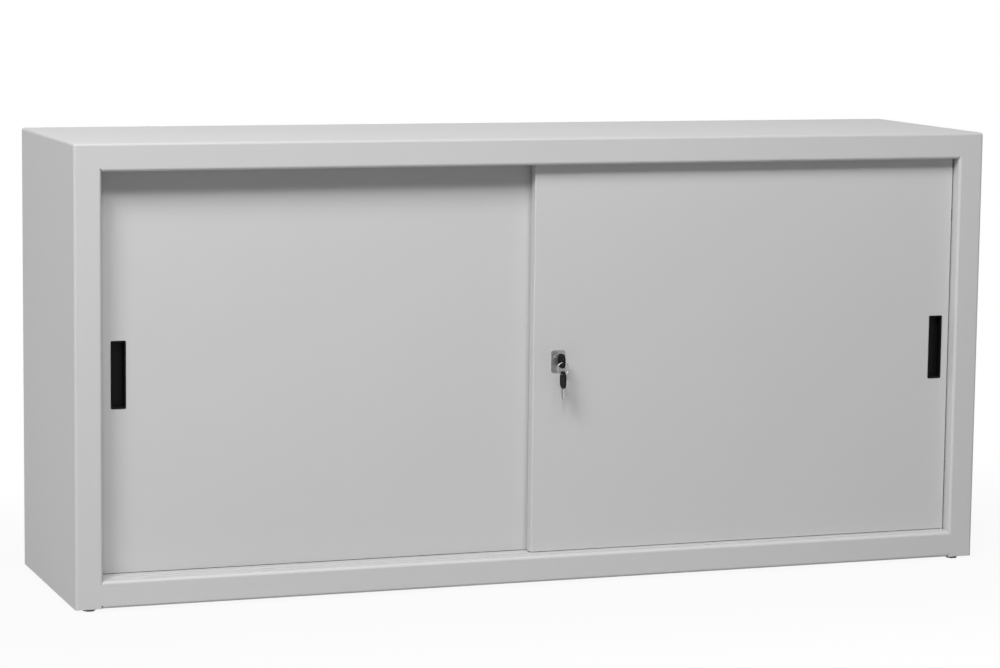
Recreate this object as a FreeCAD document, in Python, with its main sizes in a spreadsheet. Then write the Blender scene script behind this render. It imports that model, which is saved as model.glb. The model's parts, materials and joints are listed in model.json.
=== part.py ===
"""Low steel cabinet with two sliding doors, a key lock, shelves and levelling feet.

Millimetres. X runs to the right, Y to the back and Z up. The origin is the middle of the
footprint on the floor, so the front of the carcass is at Y = -overall_depth / 2.
Every size is an alias of the sheet "dims"; lengths elsewhere are expressions of those aliases.
"""
import FreeCAD, Part
import os
import re

import Sketcher
from FreeCAD import Placement, Rotation, Vector

doc = FreeCAD.newDocument("sliding_door_cabinet")

DIMENSIONS = {
    # carcass
    "overall_width": 1600,
    "overall_depth": 400,
    "overall_height": 750,
    "foot_gap": 6,
    "sheet": 1,
    "bend_radius": 5,
    "inside_break": 2.4,
    "stile_width": 45,
    "stile_depth": 70,
    "stile_lip": 22,
    "rear_flange": 15,
    "header_height": 45,
    "header_return": 14,
    "rail_height": 44,
    "rail_return": 18,
    "floor_flange": 20,
    "divider_setback": 74,
    "divider_flange": 25,
    "divider_lip": 12,
    "back_skirt": 34,
    "overcut": 1,
    "weld_gap": 0.02,
    "rim_slack": 0.2,
    # doors
    "door_recess": 20,
    "door_thickness": 18,
    "door_pitch": 24,
    "door_sheet": 1,
    "door_bend": 2,
    "door_rim": 18,
    "door_overlap": 40,
    "door_end_gap": 2,
    "door_lift": 4,
    "door_headroom": 33,
    "stiffener_width": 60,
    "stiffener_depth": 15,
    "stiffener_flange": 14,
    # guide track under the top, and the guides that run in it
    "track_sheet": 1,
    "track_depth": 28,
    "channel_width": 12,
    "guide_play": 0.7,
    "guide_length": 36,
    "guide_height": 14,
    "guide_inset": 60,
    "guide_lead": 3,
    "guide_peg": 8,
    "guide_peg_gap": 0.08,
    "guide_peg_length": 4,
    # running rail on the floor, and the rollers that run in it
    "rail_strip": 1,
    "rail_strip_width": 54,
    "rail_channel": 13.6,
    "rail_rib": 1.5,
    "rail_rib_height": 2,
    "roller_lift": 0.3,
    "roller_radius": 12,
    "roller_width": 12,
    "roller_inset": 90,
    "roller_bore_gap": 0.08,
    "roller_slot_length": 30,
    "roller_slot_width": 13.2,
    "axle_radius": 3,
    "axle_square": 4.2,
    "axle_shoulder": 1,
    "bracket_sheet": 1.2,
    "bracket_bend": 2.4,
    "bracket_length": 42,
    "bracket_headroom": 4,
    "bracket_foot_gap": 1,
    # recessed pulls
    "pull_width": 25,
    "pull_height": 110,
    "left_pull_inset": 34,
    "right_pull_inset": 26,
    "pull_rim": 1,
    "pull_lip": 1.6,
    "pull_wall": 1.2,
    "pull_depth": 13,
    "pull_corner": 2,
    "pull_fit": 0.1,
    "pull_drop": 2,
    # door buffers
    "buffer_width": 12,
    "buffer_height": 20,
    "buffer_thickness": 1.7,
    "buffer_inset": 110,
    # lock
    "lock_inset": 44,
    "lock_level": 378,
    "plate_width": 24,
    "plate_height": 36,
    "plate_thickness": 2,
    "plate_corner": 2,
    "plate_drop": 2,
    "collar_radius": 9.5,
    "collar_height": 1.2,
    "plug_radius": 7,
    "plug_proud": 3.5,
    "plug_length": 22.5,
    "plug_gap": 0.05,
    "keyway_spare": 1,
    "housing_width": 28,
    "housing_height": 50,
    "housing_depth": 19,
    "housing_drop": 5,
    "housing_corner": 4,
    "bolt_radius": 3.5,
    "bolt_length": 17.5,
    "bolt_drop": 15,
    "bolt_seat": 20.5,
    "lug_size": 4,
    "lug_spread": 8,
    "lug_rise": 13,
    "lug_grip": 1,
    "lug_gap": 0.05,
    # keys and the ring that holds the spare
    "key_gap": 0.4,
    "key_play": 0.1,
    "bow_length": 29,
    "bow_height": 24,
    "bow_thickness": 3,
    "bow_corner": 10,
    "bow_hole_radius": 2.5,
    "bow_hole_inset": 7,
    "blade_length": 19.5,
    "blade_height": 7,
    "blade_thickness": 2.2,
    "blade_tang": 7,
    "blade_tip": 2,
    "tooth_count": 4,
    "tooth_pitch": 3.4,
    "tooth_depth": 1.6,
    "tooth_slope": 1.2,
    "tooth_land": 1.2,
    "tooth_step": 0.35,
    "ring_radius": 10.2,
    "ring_wire_radius": 0.6,
    "ring_lift": 0.45,
    # shelves, their slotted uprights and clips
    "upright_width": 30,
    "upright_depth": 10,
    "upright_margin": 22,
    "front_upright_setback": 95,
    "rear_upright_setback": 320,
    "slot_width": 14,
    "slot_height": 4,
    "slot_pitch": 60,
    "first_slot": 37,
    "slot_count": 10,
    "shelf_slot": 5,
    "shelf_height": 25,
    "shelf_lip": 12,
    "shelf_setback": 88,
    "shelf_rear_gap": 16,
    "shelf_side_gap": 2,
    "clip_sheet": 1.5,
    "clip_width": 12,
    "clip_drop": 12,
    "clip_ledge": 16,
    "clip_tongue": 4,
    "clip_seat": 0.4,
    # levelling feet
    "foot_inset_side": 27,
    "foot_inset_front": 22,
    "foot_inset_rear": 32,
    "foot_width": 19,
    "foot_height": 5,
    "foot_chamfer": 1,
    "stud_radius": 4,
    "stud_length": 26,
    "plate_lift": 2,
    "foot_plate": 2,
    "foot_plate_size": 50,
    "foot_plate_cut": 4.5,
    "stud_gap": 0.3,
}

sheet = doc.addObject("Spreadsheet::Sheet", "dims")
for row, (alias, number) in enumerate(DIMENSIONS.items(), start=1):
    sheet.set(f"A{row}", str(number))
    sheet.setAlias(f"A{row}", alias)
doc.recompute()


# ---------------------------------------------------------------- expressions
def bound(expression):
    """The expression with each bare alias turned into a reference to its cell."""
    words = r"\b([a-z][a-z0-9_]*)\b"
    return re.sub(words, lambda m: f"dims.{m[1]}" if m[1] in DIMENSIONS else m[1], str(expression))


def value(expression):
    """What the expression comes to, in millimetres."""
    return float(sheet.evalExpression(bound(expression)))


def cell(alias):
    """A whole number from the sheet, for counting."""
    return int(round(value(alias)))


# ---------------------------------------------------------------- sketches and features
# Axis that a profile is pushed along: origin plane, whether that plane looks against the
# axis, and the two row axes that its sketch runs in.
PLANES = {
    "X": ("YZ_Plane", False, (1, 2)),
    "Y": ("XZ_Plane", True, (0, 2)),
    "Z": ("XY_Plane", False, (0, 1)),
}


def new_body(label):
    body = doc.addObject("PartDesign::Body", label)
    body.Label = label
    return body


def rect(low_u, high_u, low_v, high_v):
    """The corners of a rectangle in a sketch."""
    return [(low_u, low_v), (high_u, low_v), (high_u, high_v), (low_u, high_v)]


def clipped(low_u, high_u, low_v, high_v, cut):
    """The corners of a rectangle in a sketch, each cut off at 45 degrees."""
    return [
        (f"{low_u} + {cut}", low_v), (f"{high_u} - {cut}", low_v),
        (high_u, f"{low_v} + {cut}"), (high_u, f"{high_v} - {cut}"),
        (f"{high_u} - {cut}", high_v), (f"{low_u} + {cut}", high_v),
        (low_u, f"{high_v} - {cut}"), (low_u, f"{low_v} + {cut}"),
    ]


def square(centre_u, centre_v, half):
    """The corners of a square in a sketch."""
    return rect(f"{centre_u} - {half}", f"{centre_u} + {half}",
                f"{centre_v} - {half}", f"{centre_v} + {half}")


def circle(centre_u, centre_v, radius):
    return {"centre": (centre_u, centre_v), "radius": radius}


def pin(sketch, geometry, point, u, v):
    """Hold a sketch point at two distances from the sketch's origin, bound to the sheet."""
    for kind, axis, expression in (("DistanceX", -2, u), ("DistanceY", -1, v)):
        distance = value(expression)
        if abs(distance) < 1e-9:
            sketch.addConstraint(Sketcher.Constraint("PointOnObject", geometry, point, axis))
            continue
        index = sketch.addConstraint(Sketcher.Constraint(kind, -1, 1, geometry, point, distance))
        sketch.setExpression(f"Constraints[{index}]", bound(expression))


def new_sketch(body, axis, offset, loops):
    """Closed loops, drawn in the plane across the axis at the given offset along it."""
    role, looks_back, _ = PLANES[axis]
    plane = next(f for f in body.Origin.OriginFeatures if f.Role == role)
    sketch = body.newObject("Sketcher::SketchObject", f"{body.Name}_sketch")
    sketch.AttachmentSupport = [(plane, "")]
    sketch.MapMode = "FlatFace"
    side = "-1 * " if looks_back else ""
    sketch.setExpression("AttachmentOffset.Base.z", bound(f"{side}({offset})"))
    for loop in loops:
        first = sketch.GeometryCount
        if isinstance(loop, dict):
            u, v = loop["centre"]
            middle = Vector(value(u), value(v), 0)
            sketch.addGeometry(Part.Circle(middle, Vector(0, 0, 1), value(loop["radius"])))
            index = sketch.addConstraint(Sketcher.Constraint("Radius", first, value(loop["radius"])))
            sketch.setExpression(f"Constraints[{index}]", bound(loop["radius"]))
            pin(sketch, first, 3, u, v)
            continue
        points = [Vector(value(u), value(v), 0) for u, v in loop]
        count = len(points)
        for i in range(count):
            sketch.addGeometry(Part.LineSegment(points[i], points[(i + 1) % count]))
        for i in range(count):
            following = first + (i + 1) % count
            sketch.addConstraint(Sketcher.Constraint("Coincident", first + i, 2, following, 1))
        for i, (u, v) in enumerate(loop):
            pin(sketch, first + i, 1, u, v)
    return sketch


def pad(body, axis, loops, low, high):
    """Material between two places along the axis, with the loops as its section."""
    sketch = new_sketch(body, axis, low, loops)
    feature = body.newObject("PartDesign::Pad", f"{body.Name}_pad")
    feature.Profile = sketch
    feature.Reversed = PLANES[axis][1]
    feature.setExpression("Length", bound(f"({high}) - ({low})"))
    doc.recompute()
    return feature


def pocket(body, axis, loops, low, high):
    """A cut between two places along the axis. It fails loudly if it removes nothing."""
    before = body.Shape.Volume
    sketch = new_sketch(body, axis, low, loops)
    feature = body.newObject("PartDesign::Pocket", f"{body.Name}_pocket")
    feature.Profile = sketch
    feature.Reversed = not PLANES[axis][1]
    feature.setExpression("Length", bound(f"({high}) - ({low})"))
    doc.recompute()
    if not body.Shape.Volume < before:
        raise RuntimeError(f"a pocket in {body.Label} cut nothing")
    return feature


def edges_along(shape, axis, places):
    """Names of the straight edges that run along the axis through the given places."""
    order = PLANES[axis][2]
    spots = [(value(u), value(v)) for u, v in places]
    names = []
    for i, edge in enumerate(shape.Edges, start=1):
        ends = [v.Point for v in edge.Vertexes]
        if len(ends) != 2 or not isinstance(edge.Curve, Part.Line):
            continue
        run = ends[1] - ends[0]
        if abs(getattr(run, axis.lower())) < 0.999 * run.Length:
            continue
        if any(max(abs(ends[0][order[0]] - u), abs(ends[0][order[1]] - v)) < 1e-4 for u, v in spots):
            names.append(f"Edge{i}")
    return names


def fillet(body, names, radius):
    """Round the named edges of the body's last feature."""
    if not names:
        raise RuntimeError(f"no edge to round in {body.Label}")
    base = body.Tip
    feature = body.newObject("PartDesign::Fillet", f"{body.Name}_fillet")
    feature.Base = (base, names)
    feature.setExpression("Radius", bound(radius))
    body.Tip = feature
    doc.recompute()
    return feature


def round_corners(body, axis, places, radius):
    """Round the edges that run along the axis through the given places."""
    return fillet(body, edges_along(body.Shape, axis, places), radius)


def chamfer(body, names, size):
    """Break the named edges of the body's last feature at 45 degrees."""
    base = body.Tip
    feature = body.newObject("PartDesign::Chamfer", f"{body.Name}_chamfer")
    feature.Base = (base, names)
    feature.setExpression("Size", bound(size))
    body.Tip = feature
    doc.recompute()
    return feature


def rim_edges(shape, axis, place):
    """Names of all the edges that lie in the plane across the axis at the given place."""
    level = value(place)
    return [f"Edge{i}" for i, edge in enumerate(shape.Edges, start=1)
            if all(abs(getattr(point, axis.lower()) - level) < 1e-4 for point in edge.discretize(3))]


def repeat(body, originals, axis, spacing, count):
    """A row of copies of some features along one of the body's axes, the first included."""
    line = next(f for f in body.Origin.OriginFeatures if f.Role == f"{axis}_Axis")
    feature = body.newObject("PartDesign::LinearPattern", f"{body.Name}_row")
    feature.Originals = originals
    feature.Direction = (line, [""])
    feature.Mode = "Spacing"
    feature.setExpression("Offset", bound(spacing))
    feature.Occurrences = count
    body.Tip = feature
    doc.recompute()
    return feature


def mirror(body, originals, axis):
    """Copies of some features on the other side of the origin plane across the axis."""
    role = PLANES[axis][0]
    plane = next(f for f in body.Origin.OriginFeatures if f.Role == role)
    feature = body.newObject("PartDesign::Mirrored", f"{body.Name}_mirror")
    feature.Originals = originals
    feature.MirrorPlane = (plane, [""])
    body.Tip = feature
    doc.recompute()
    return feature


def folded(label, axis, path, metal, low, high, gauge="sheet", bend="bend_radius"):
    """Bent sheet metal: the path is one face of the sheet, and the metal lies to its left
    (metal = 1) or right (metal = -1). Each bend is rounded inside and outside, unless bend
    is None: then it is folded sharp."""
    spots = [(value(u), value(v)) for u, v in path]
    normals = []
    for (u0, v0), (u1, v1) in zip(spots, spots[1:]):
        step_u = (u1 > u0 + 1e-9) - (u1 < u0 - 1e-9)
        step_v = (v1 > v0 + 1e-9) - (v1 < v0 - 1e-9)
        normals.append((-step_v * metal, step_u * metal))
    other_side = []
    outer, inner = [], []
    for i, (u, v) in enumerate(path):
        around = normals[max(i - 1, 0):i + 1]
        shift_u = sum(n[0] for n in around)
        shift_v = sum(n[1] for n in around)
        other = (f"({u}) + {shift_u} * {gauge}", f"({v}) + {shift_v} * {gauge}")
        other_side.append(other)
        if 0 < i < len(path) - 1:
            before, after = normals[i - 1], normals[i]
            turn = (before[0] * after[1] - before[1] * after[0]) * metal
            outer.append((u, v) if turn > 0 else other)
            inner.append(other if turn > 0 else (u, v))
    body = new_body(label)
    pad(body, axis, [list(path) + other_side[::-1]], low, high)
    if bend:
        round_corners(body, axis, outer, bend)
        round_corners(body, axis, inner, f"{bend} - {gauge}")
    return body


NODES = []


def node(piece):
    """Add a finished piece to the list of nodes that are written out."""
    NODES.append(piece)
    return piece


# ---------------------------------------------------------------- shared places
FRONT = "-overall_depth / 2"
BACK = "overall_depth / 2"
HALF = "overall_width / 2"
OPENING = "(overall_width / 2 - stile_width)"
TOP_INSIDE = "(overall_height - sheet)"
FLOOR = "(foot_gap + rail_height)"
SEAM = "(overall_height - bend_radius)"
BACK_PANEL_FACE = "(overall_depth / 2 - 2 * sheet)"
DOOR_BOTTOM = f"({FLOOR} + door_lift)"
DOOR_TOP = f"({TOP_INSIDE} - door_headroom)"
AXLE_LEVEL = f"({FLOOR} + rail_strip + roller_lift + roller_radius)"
RIGHT_DOOR_FACE = f"({FRONT} + door_recess)"
LEFT_DOOR_FACE = f"({FRONT} + door_recess + door_pitch)"
RIGHT_DOOR_MIDDLE = f"({RIGHT_DOOR_FACE} + door_thickness / 2)"
LEFT_DOOR_MIDDLE = f"({LEFT_DOOR_FACE} + door_thickness / 2)"
PULL_LEVEL = "(foot_gap + (overall_height - foot_gap) / 2 - pull_drop)"
LOCK_X = "(lock_inset - door_overlap / 2)"
LOCK_LEVEL = "lock_level"


# ---------------------------------------------------------------- carcass
def side_panel(label, side):
    """Side wall, front stile folded round to a column, and the flange that takes the back."""
    half, opening = f"{side} * {HALF}", f"{side} * {OPENING}"
    path = [
        (f"{side} * ({HALF} - rear_flange)", BACK),
        (half, BACK),
        (half, FRONT),
        (opening, FRONT),
        (opening, f"{FRONT} + stile_depth"),
        (f"{side} * ({OPENING} + stile_lip)", f"{FRONT} + stile_depth"),
    ]
    return folded(label, "Z", path, -side, "foot_gap", SEAM)


def corner_fill(body, foot, head):
    """Weld metal, ground flush, where a cross member of the front meets the stiles' bends."""
    reach = f"({OPENING} + bend_radius)"
    squares = [rect(f"-{reach}", f"-{OPENING}", FRONT, f"{FRONT} + bend_radius"),
               rect(OPENING, reach, FRONT, f"{FRONT} + bend_radius")]
    pad(body, "Z", squares, foot, head)
    bends = [circle(f"{side} * {reach}", f"{FRONT} + bend_radius", "bend_radius + weld_gap")
             for side in (-1, 1)]
    pocket(body, "Z", bends, foot, head)


def top_panel():
    """Top with rolled edges that meet the side walls, a header in front and a rear flange."""
    body = new_body("top_panel")
    outline = rect(f"-{HALF}", HALF, FRONT, BACK)
    pad(body, "Z", [outline], SEAM, "overall_height")
    inside = clipped(f"-({HALF} - sheet)", f"{HALF} - sheet", f"{FRONT} + sheet", f"{BACK} - sheet",
                     "inside_break")
    pocket(body, "Z", [inside], SEAM, TOP_INSIDE)
    chamfer(body, rim_edges(body.Shape, "Z", TOP_INSIDE), "inside_break")
    corners = [(u, v) for u in (f"-{HALF}", HALF) for v in (FRONT, BACK)]
    round_corners(body, "Z", corners, "bend_radius")
    fillet(body, rim_edges(body.Shape, "Z", "overall_height"), "bend_radius - rim_slack")
    header_foot = "(overall_height - header_height)"
    header = [
        (FRONT, SEAM),
        (FRONT, header_foot),
        (f"{FRONT} + header_return", header_foot),
        (f"{FRONT} + header_return", f"{header_foot} + sheet"),
        (f"{FRONT} + sheet", f"{header_foot} + sheet"),
        (f"{FRONT} + sheet", SEAM),
    ]
    pad(body, "X", [header], f"-{OPENING}", OPENING)
    round_corners(body, "X", [(FRONT, header_foot)], "bend_radius")
    round_corners(body, "X", [(f"{FRONT} + sheet", f"{header_foot} + sheet")], "bend_radius - sheet")
    flange_reach = f"({HALF} - rear_flange)"
    flange = rect(f"{BACK} - sheet", BACK, "overall_height - rear_flange", SEAM)
    pad(body, "X", [flange], f"-{flange_reach}", flange_reach)
    corner_fill(body, f"{header_foot} + bend_radius", SEAM)
    return body


def bottom_panel():
    """Raised floor with the front rail and its return, notched round the two stile columns."""
    path = [
        (f"{FRONT} + rail_return", "foot_gap"),
        (FRONT, "foot_gap"),
        (FRONT, FLOOR),
        (BACK_PANEL_FACE, FLOOR),
        (BACK_PANEL_FACE, f"{FLOOR} - floor_flange"),
    ]
    reach = f"({HALF} - sheet)"
    body = folded("bottom_panel", "X", path, -1, f"-{reach}", reach)
    notch_back = f"({FRONT} + stile_depth)"
    notches = [rect(f"-{HALF}", f"-{OPENING}", f"{FRONT} - overcut", notch_back),
               rect(OPENING, HALF, f"{FRONT} - overcut", notch_back)]
    bend_inside = f"({HALF} - bend_radius)"
    notches += [rect(f"-{HALF}", f"-{bend_inside}", f"{BACK} - bend_radius - sheet", BACK),
                rect(bend_inside, HALF, f"{BACK} - bend_radius - sheet", BACK)]
    pocket(body, "Z", notches, "foot_gap - overcut", f"{FLOOR} + overcut")
    corner_fill(body, "foot_gap + bend_radius", f"{FLOOR} - bend_radius")
    return body


def back_panel():
    """Flat sheet that closes the back, inside the rear flanges."""
    body = new_body("back_panel")
    reach = f"({HALF} - bend_radius)"
    outline = rect(f"-{reach}", reach, f"{FLOOR} - back_skirt", SEAM)
    pad(body, "Y", [outline], BACK_PANEL_FACE, f"{BACK_PANEL_FACE} + sheet")
    return body


def centre_divider():
    """Upright partition between the two compartments, folded stiff along its front."""
    web = "sheet / 2"
    path = [
        (f"rear_flange + {web}", BACK_PANEL_FACE),
        (f"-{web}", BACK_PANEL_FACE),
        (f"-{web}", f"{FRONT} + divider_setback"),
        (f"divider_flange - {web}", f"{FRONT} + divider_setback"),
        (f"divider_flange - {web}", f"{FRONT} + divider_setback + divider_lip"),
    ]
    body = folded("centre_divider", "Z", path, 1, FLOOR, TOP_INSIDE, bend=None)
    notch = rect(f"{BACK_PANEL_FACE} - bend_radius", f"{BACK_PANEL_FACE} + overcut",
                 SEAM, f"{TOP_INSIDE} + overcut")
    pocket(body, "X", [notch], "-sheet", "rear_flange + 2 * sheet")
    return body


def guide_track():
    """Two downward channels rolled from one strip, which keep the door heads in line."""
    half_channel = "channel_width / 2"
    foot = f"({TOP_INSIDE} - track_depth)"
    walls = []
    for middle in (RIGHT_DOOR_MIDDLE, LEFT_DOOR_MIDDLE):
        walls.append((f"{middle} - {half_channel} - track_sheet", 0))
        walls.append((f"{middle} + {half_channel} + track_sheet", 1))
    path = []
    for place, leaving in walls:
        levels = (TOP_INSIDE, foot) if leaving else (foot, TOP_INSIDE)
        path += [(place, level) for level in levels]
    reach = f"({OPENING} - door_end_gap)"
    return folded("top_guide_track", "X", path, -1, f"-{reach}", reach, "track_sheet", None)


def running_rail():
    """Floor strip with two channels between low ribs, one for the rollers of each door."""
    body = new_body("bottom_rail")
    middle = f"({RIGHT_DOOR_MIDDLE} + door_pitch / 2)"
    reach = f"({OPENING} - door_end_gap)"
    strip_top, rib_top = f"({FLOOR} + rail_strip)", f"({FLOOR} + rail_strip + rail_rib_height)"
    low, high = f"({middle} - rail_strip_width / 2)", f"({middle} + rail_strip_width / 2)"
    ribs = []
    for line in (RIGHT_DOOR_MIDDLE, LEFT_DOOR_MIDDLE):
        inner_front, inner_back = f"({line} - rail_channel / 2)", f"({line} + rail_channel / 2)"
        ribs += [
            (f"{inner_front} - rail_rib", strip_top), (f"{inner_front} - rail_rib", rib_top),
            (inner_front, rib_top), (inner_front, strip_top),
            (inner_back, strip_top), (inner_back, rib_top),
            (f"{inner_back} + rail_rib", rib_top), (f"{inner_back} + rail_rib", strip_top),
        ]
    section = [(high, FLOOR), (low, FLOOR), (low, strip_top), *ribs, (high, strip_top)]
    pad(body, "X", [section], f"-{reach}", reach)
    return body


def door_buffers():
    """Rubber pads on the stile returns that the doors run up against."""
    body = new_body("door_buffers")
    levels = (f"({DOOR_BOTTOM} + buffer_inset)", f"({DOOR_TOP} - buffer_inset)")
    pads = [rect(f"{middle} - buffer_width / 2", f"{middle} + buffer_width / 2",
                 f"{level} - buffer_height / 2", f"{level} + buffer_height / 2")
            for middle in (RIGHT_DOOR_MIDDLE, LEFT_DOOR_MIDDLE) for level in levels]
    right = pad(body, "X", pads, f"{OPENING} - buffer_thickness", OPENING)
    mirror(body, [right], "X")
    return body


# ---------------------------------------------------------------- shelves
SHELF_SLOT_LEVEL = f"({FLOOR} + first_slot + shelf_slot * slot_pitch)"
CLIP_TOP = f"({SHELF_SLOT_LEVEL} - slot_height / 2 + clip_seat + clip_sheet)"
UPRIGHT_ROWS = ("front_upright_setback", "rear_upright_setback")


def shelf_uprights(label, wall, facing):
    """Two slotted channels on one wall; facing is +1 where their slots look towards +X."""
    body = new_body(label)
    face = f"({wall} + {facing} * upright_depth)"
    inner_face = f"({wall} + {facing} * (upright_depth - sheet))"
    bottom, top = FLOOR, f"({TOP_INSIDE} - upright_margin)"
    front = f"({FRONT} + front_upright_setback)"
    section = [
        (wall, f"{front} - upright_width / 2"),
        (face, f"{front} - upright_width / 2"),
        (face, f"{front} + upright_width / 2"),
        (wall, f"{front} + upright_width / 2"),
        (wall, f"{front} + upright_width / 2 - sheet"),
        (inner_face, f"{front} + upright_width / 2 - sheet"),
        (inner_face, f"{front} - upright_width / 2 + sheet"),
        (wall, f"{front} - upright_width / 2 + sheet"),
    ]
    rows_apart = "rear_upright_setback - front_upright_setback"
    channel = pad(body, "Z", [section], bottom, top)
    repeat(body, [channel], "Y", rows_apart, 2)
    first = f"{FLOOR} + first_slot"
    slots = [rect(f"{row} - slot_width / 2", f"{row} + slot_width / 2",
                  f"{first} - slot_height / 2", f"{first} + slot_height / 2")
             for row in (f"({FRONT} + {setback})" for setback in UPRIGHT_ROWS)]
    low, high = (inner_face, face) if facing > 0 else (face, inner_face)
    slot = pocket(body, "X", slots, low, high)
    repeat(body, [slot], "Z", "slot_pitch", cell("slot_count"))
    return body


def shelf(label, low, high):
    """Shelf folded down along the front and the back, with lips turned in underneath."""
    front = f"({FRONT} + shelf_setback)"
    rear = f"({BACK_PANEL_FACE} - shelf_rear_gap)"
    shelf_top = f"({CLIP_TOP} + shelf_height)"
    path = [
        (f"{front} + shelf_lip", CLIP_TOP),
        (front, CLIP_TOP),
        (front, shelf_top),
        (rear, shelf_top),
        (rear, CLIP_TOP),
        (f"{rear} - shelf_lip", CLIP_TOP),
    ]
    return folded(label, "X", path, -1, low, high, bend=None)


def shelf_clips(label, walls):
    """Bent clips hooked into the uprights' slots, under the ends of one shelf."""
    body = new_body(label)
    tongue_foot = f"({SHELF_SLOT_LEVEL} - slot_height / 2)"
    for wall, facing in walls:
        face = f"({wall} + {facing} * upright_depth)"
        section = [
            (f"{face} - {facing} * clip_tongue", tongue_foot),
            (face, tongue_foot),
            (face, f"{CLIP_TOP} - clip_drop"),
            (f"{face} + {facing} * clip_sheet", f"{CLIP_TOP} - clip_drop"),
            (f"{face} + {facing} * clip_sheet", f"{CLIP_TOP} - clip_sheet"),
            (f"{face} + {facing} * clip_ledge", f"{CLIP_TOP} - clip_sheet"),
            (f"{face} + {facing} * clip_ledge", CLIP_TOP),
            (face, CLIP_TOP),
            (face, f"{tongue_foot} + clip_sheet"),
            (f"{face} - {facing} * clip_tongue", f"{tongue_foot} + clip_sheet"),
        ]
        for setback in UPRIGHT_ROWS:
            row = f"({FRONT} + {setback})"
            pad(body, "Y", [section], f"{row} - clip_width / 2", f"{row} + clip_width / 2")
    return body


# ---------------------------------------------------------------- levelling feet
FOOT_SPOTS = {
    "front_left": (f"-({HALF} - foot_inset_side)", f"({FRONT} + foot_inset_front)"),
    "front_right": (f"({HALF} - foot_inset_side)", f"({FRONT} + foot_inset_front)"),
    "rear_left": (f"-({HALF} - foot_inset_side)", f"({BACK} - foot_inset_rear)"),
    "rear_right": (f"({HALF} - foot_inset_side)", f"({BACK} - foot_inset_rear)"),
}
PLATE_FOOT = "(foot_gap + plate_lift)"
PLATE_TOP = "(foot_gap + plate_lift + foot_plate)"


def foot_plates():
    """Welded plates in the corners of the base, punched square for the feet's nuts."""
    body = new_body("foot_plates")
    inner, back_face = f"({HALF} - sheet)", BACK_PANEL_FACE
    column_front, column_back = f"{FRONT} + sheet", f"{FRONT} + stile_depth - sheet"
    places = [
        (f"({OPENING} + sheet)", inner, column_front, column_back),
        (f"(-{inner})", f"(-{OPENING} - sheet)", column_front, column_back),
        (f"({inner} - foot_plate_size)", inner, f"({back_face} - foot_plate_size)", back_face),
        (f"(-{inner})", f"(foot_plate_size - {inner})", f"({back_face} - foot_plate_size)", back_face),
    ]
    pad(body, "Z", [clipped(*place, "foot_plate_cut") for place in places], PLATE_FOOT, PLATE_TOP)
    holes = [square(x, y, "(stud_radius + stud_gap)") for x, y in FOOT_SPOTS.values()]
    pocket(body, "Z", holes, PLATE_FOOT, PLATE_TOP)
    return body


def hexagon(x, y, across_flats):
    """A hexagon's corners, two of them in line along X."""
    flat = f"({across_flats}) / 2"
    slant = f"({across_flats}) / sqrt(3)"
    return [
        (f"{x} + {slant}", y), (f"{x} + {slant} / 2", f"{y} + {flat}"),
        (f"{x} - {slant} / 2", f"{y} + {flat}"), (f"{x} - {slant}", y),
        (f"{x} - {slant} / 2", f"{y} - {flat}"), (f"{x} + {slant} / 2", f"{y} - {flat}"),
    ]


def foot_pad(corner):
    """Hexagonal foot, moulded on the head of its stud, that is turned with a spanner."""
    body = new_body(f"{corner}_foot_pad")
    x, y = FOOT_SPOTS[corner]
    pad(body, "Z", [hexagon(x, y, "foot_width")], "0", "foot_height")
    chamfer(body, rim_edges(body.Shape, "Z", "0"), "foot_chamfer")
    return body


def foot_stud(corner):
    """Stud that screws up through its plate."""
    body = new_body(f"{corner}_foot_stud")
    x, y = FOOT_SPOTS[corner]
    pad(body, "Z", [circle(x, y, "stud_radius")], "foot_height", "foot_height + stud_length")
    return body


# ---------------------------------------------------------------- doors
DOORS = {
    "left": {
        "low": f"(door_end_gap - {OPENING})",
        "high": "(door_overlap / 2)",
        "face": LEFT_DOOR_FACE,
        "middle": LEFT_DOOR_MIDDLE,
        "pull": f"(door_end_gap - {OPENING} + left_pull_inset)",
    },
    "right": {
        "low": "(-door_overlap / 2)",
        "high": f"({OPENING} - door_end_gap)",
        "face": RIGHT_DOOR_FACE,
        "middle": RIGHT_DOOR_MIDDLE,
        "pull": f"({OPENING} - door_end_gap - right_pull_inset)",
    },
}


def roller_places(door):
    return f"({door['low']} + roller_inset)", f"({door['high']} - roller_inset)"


def guide_places(door):
    return f"({door['low']} + guide_inset)", f"({door['high']} - guide_inset)"


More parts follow.
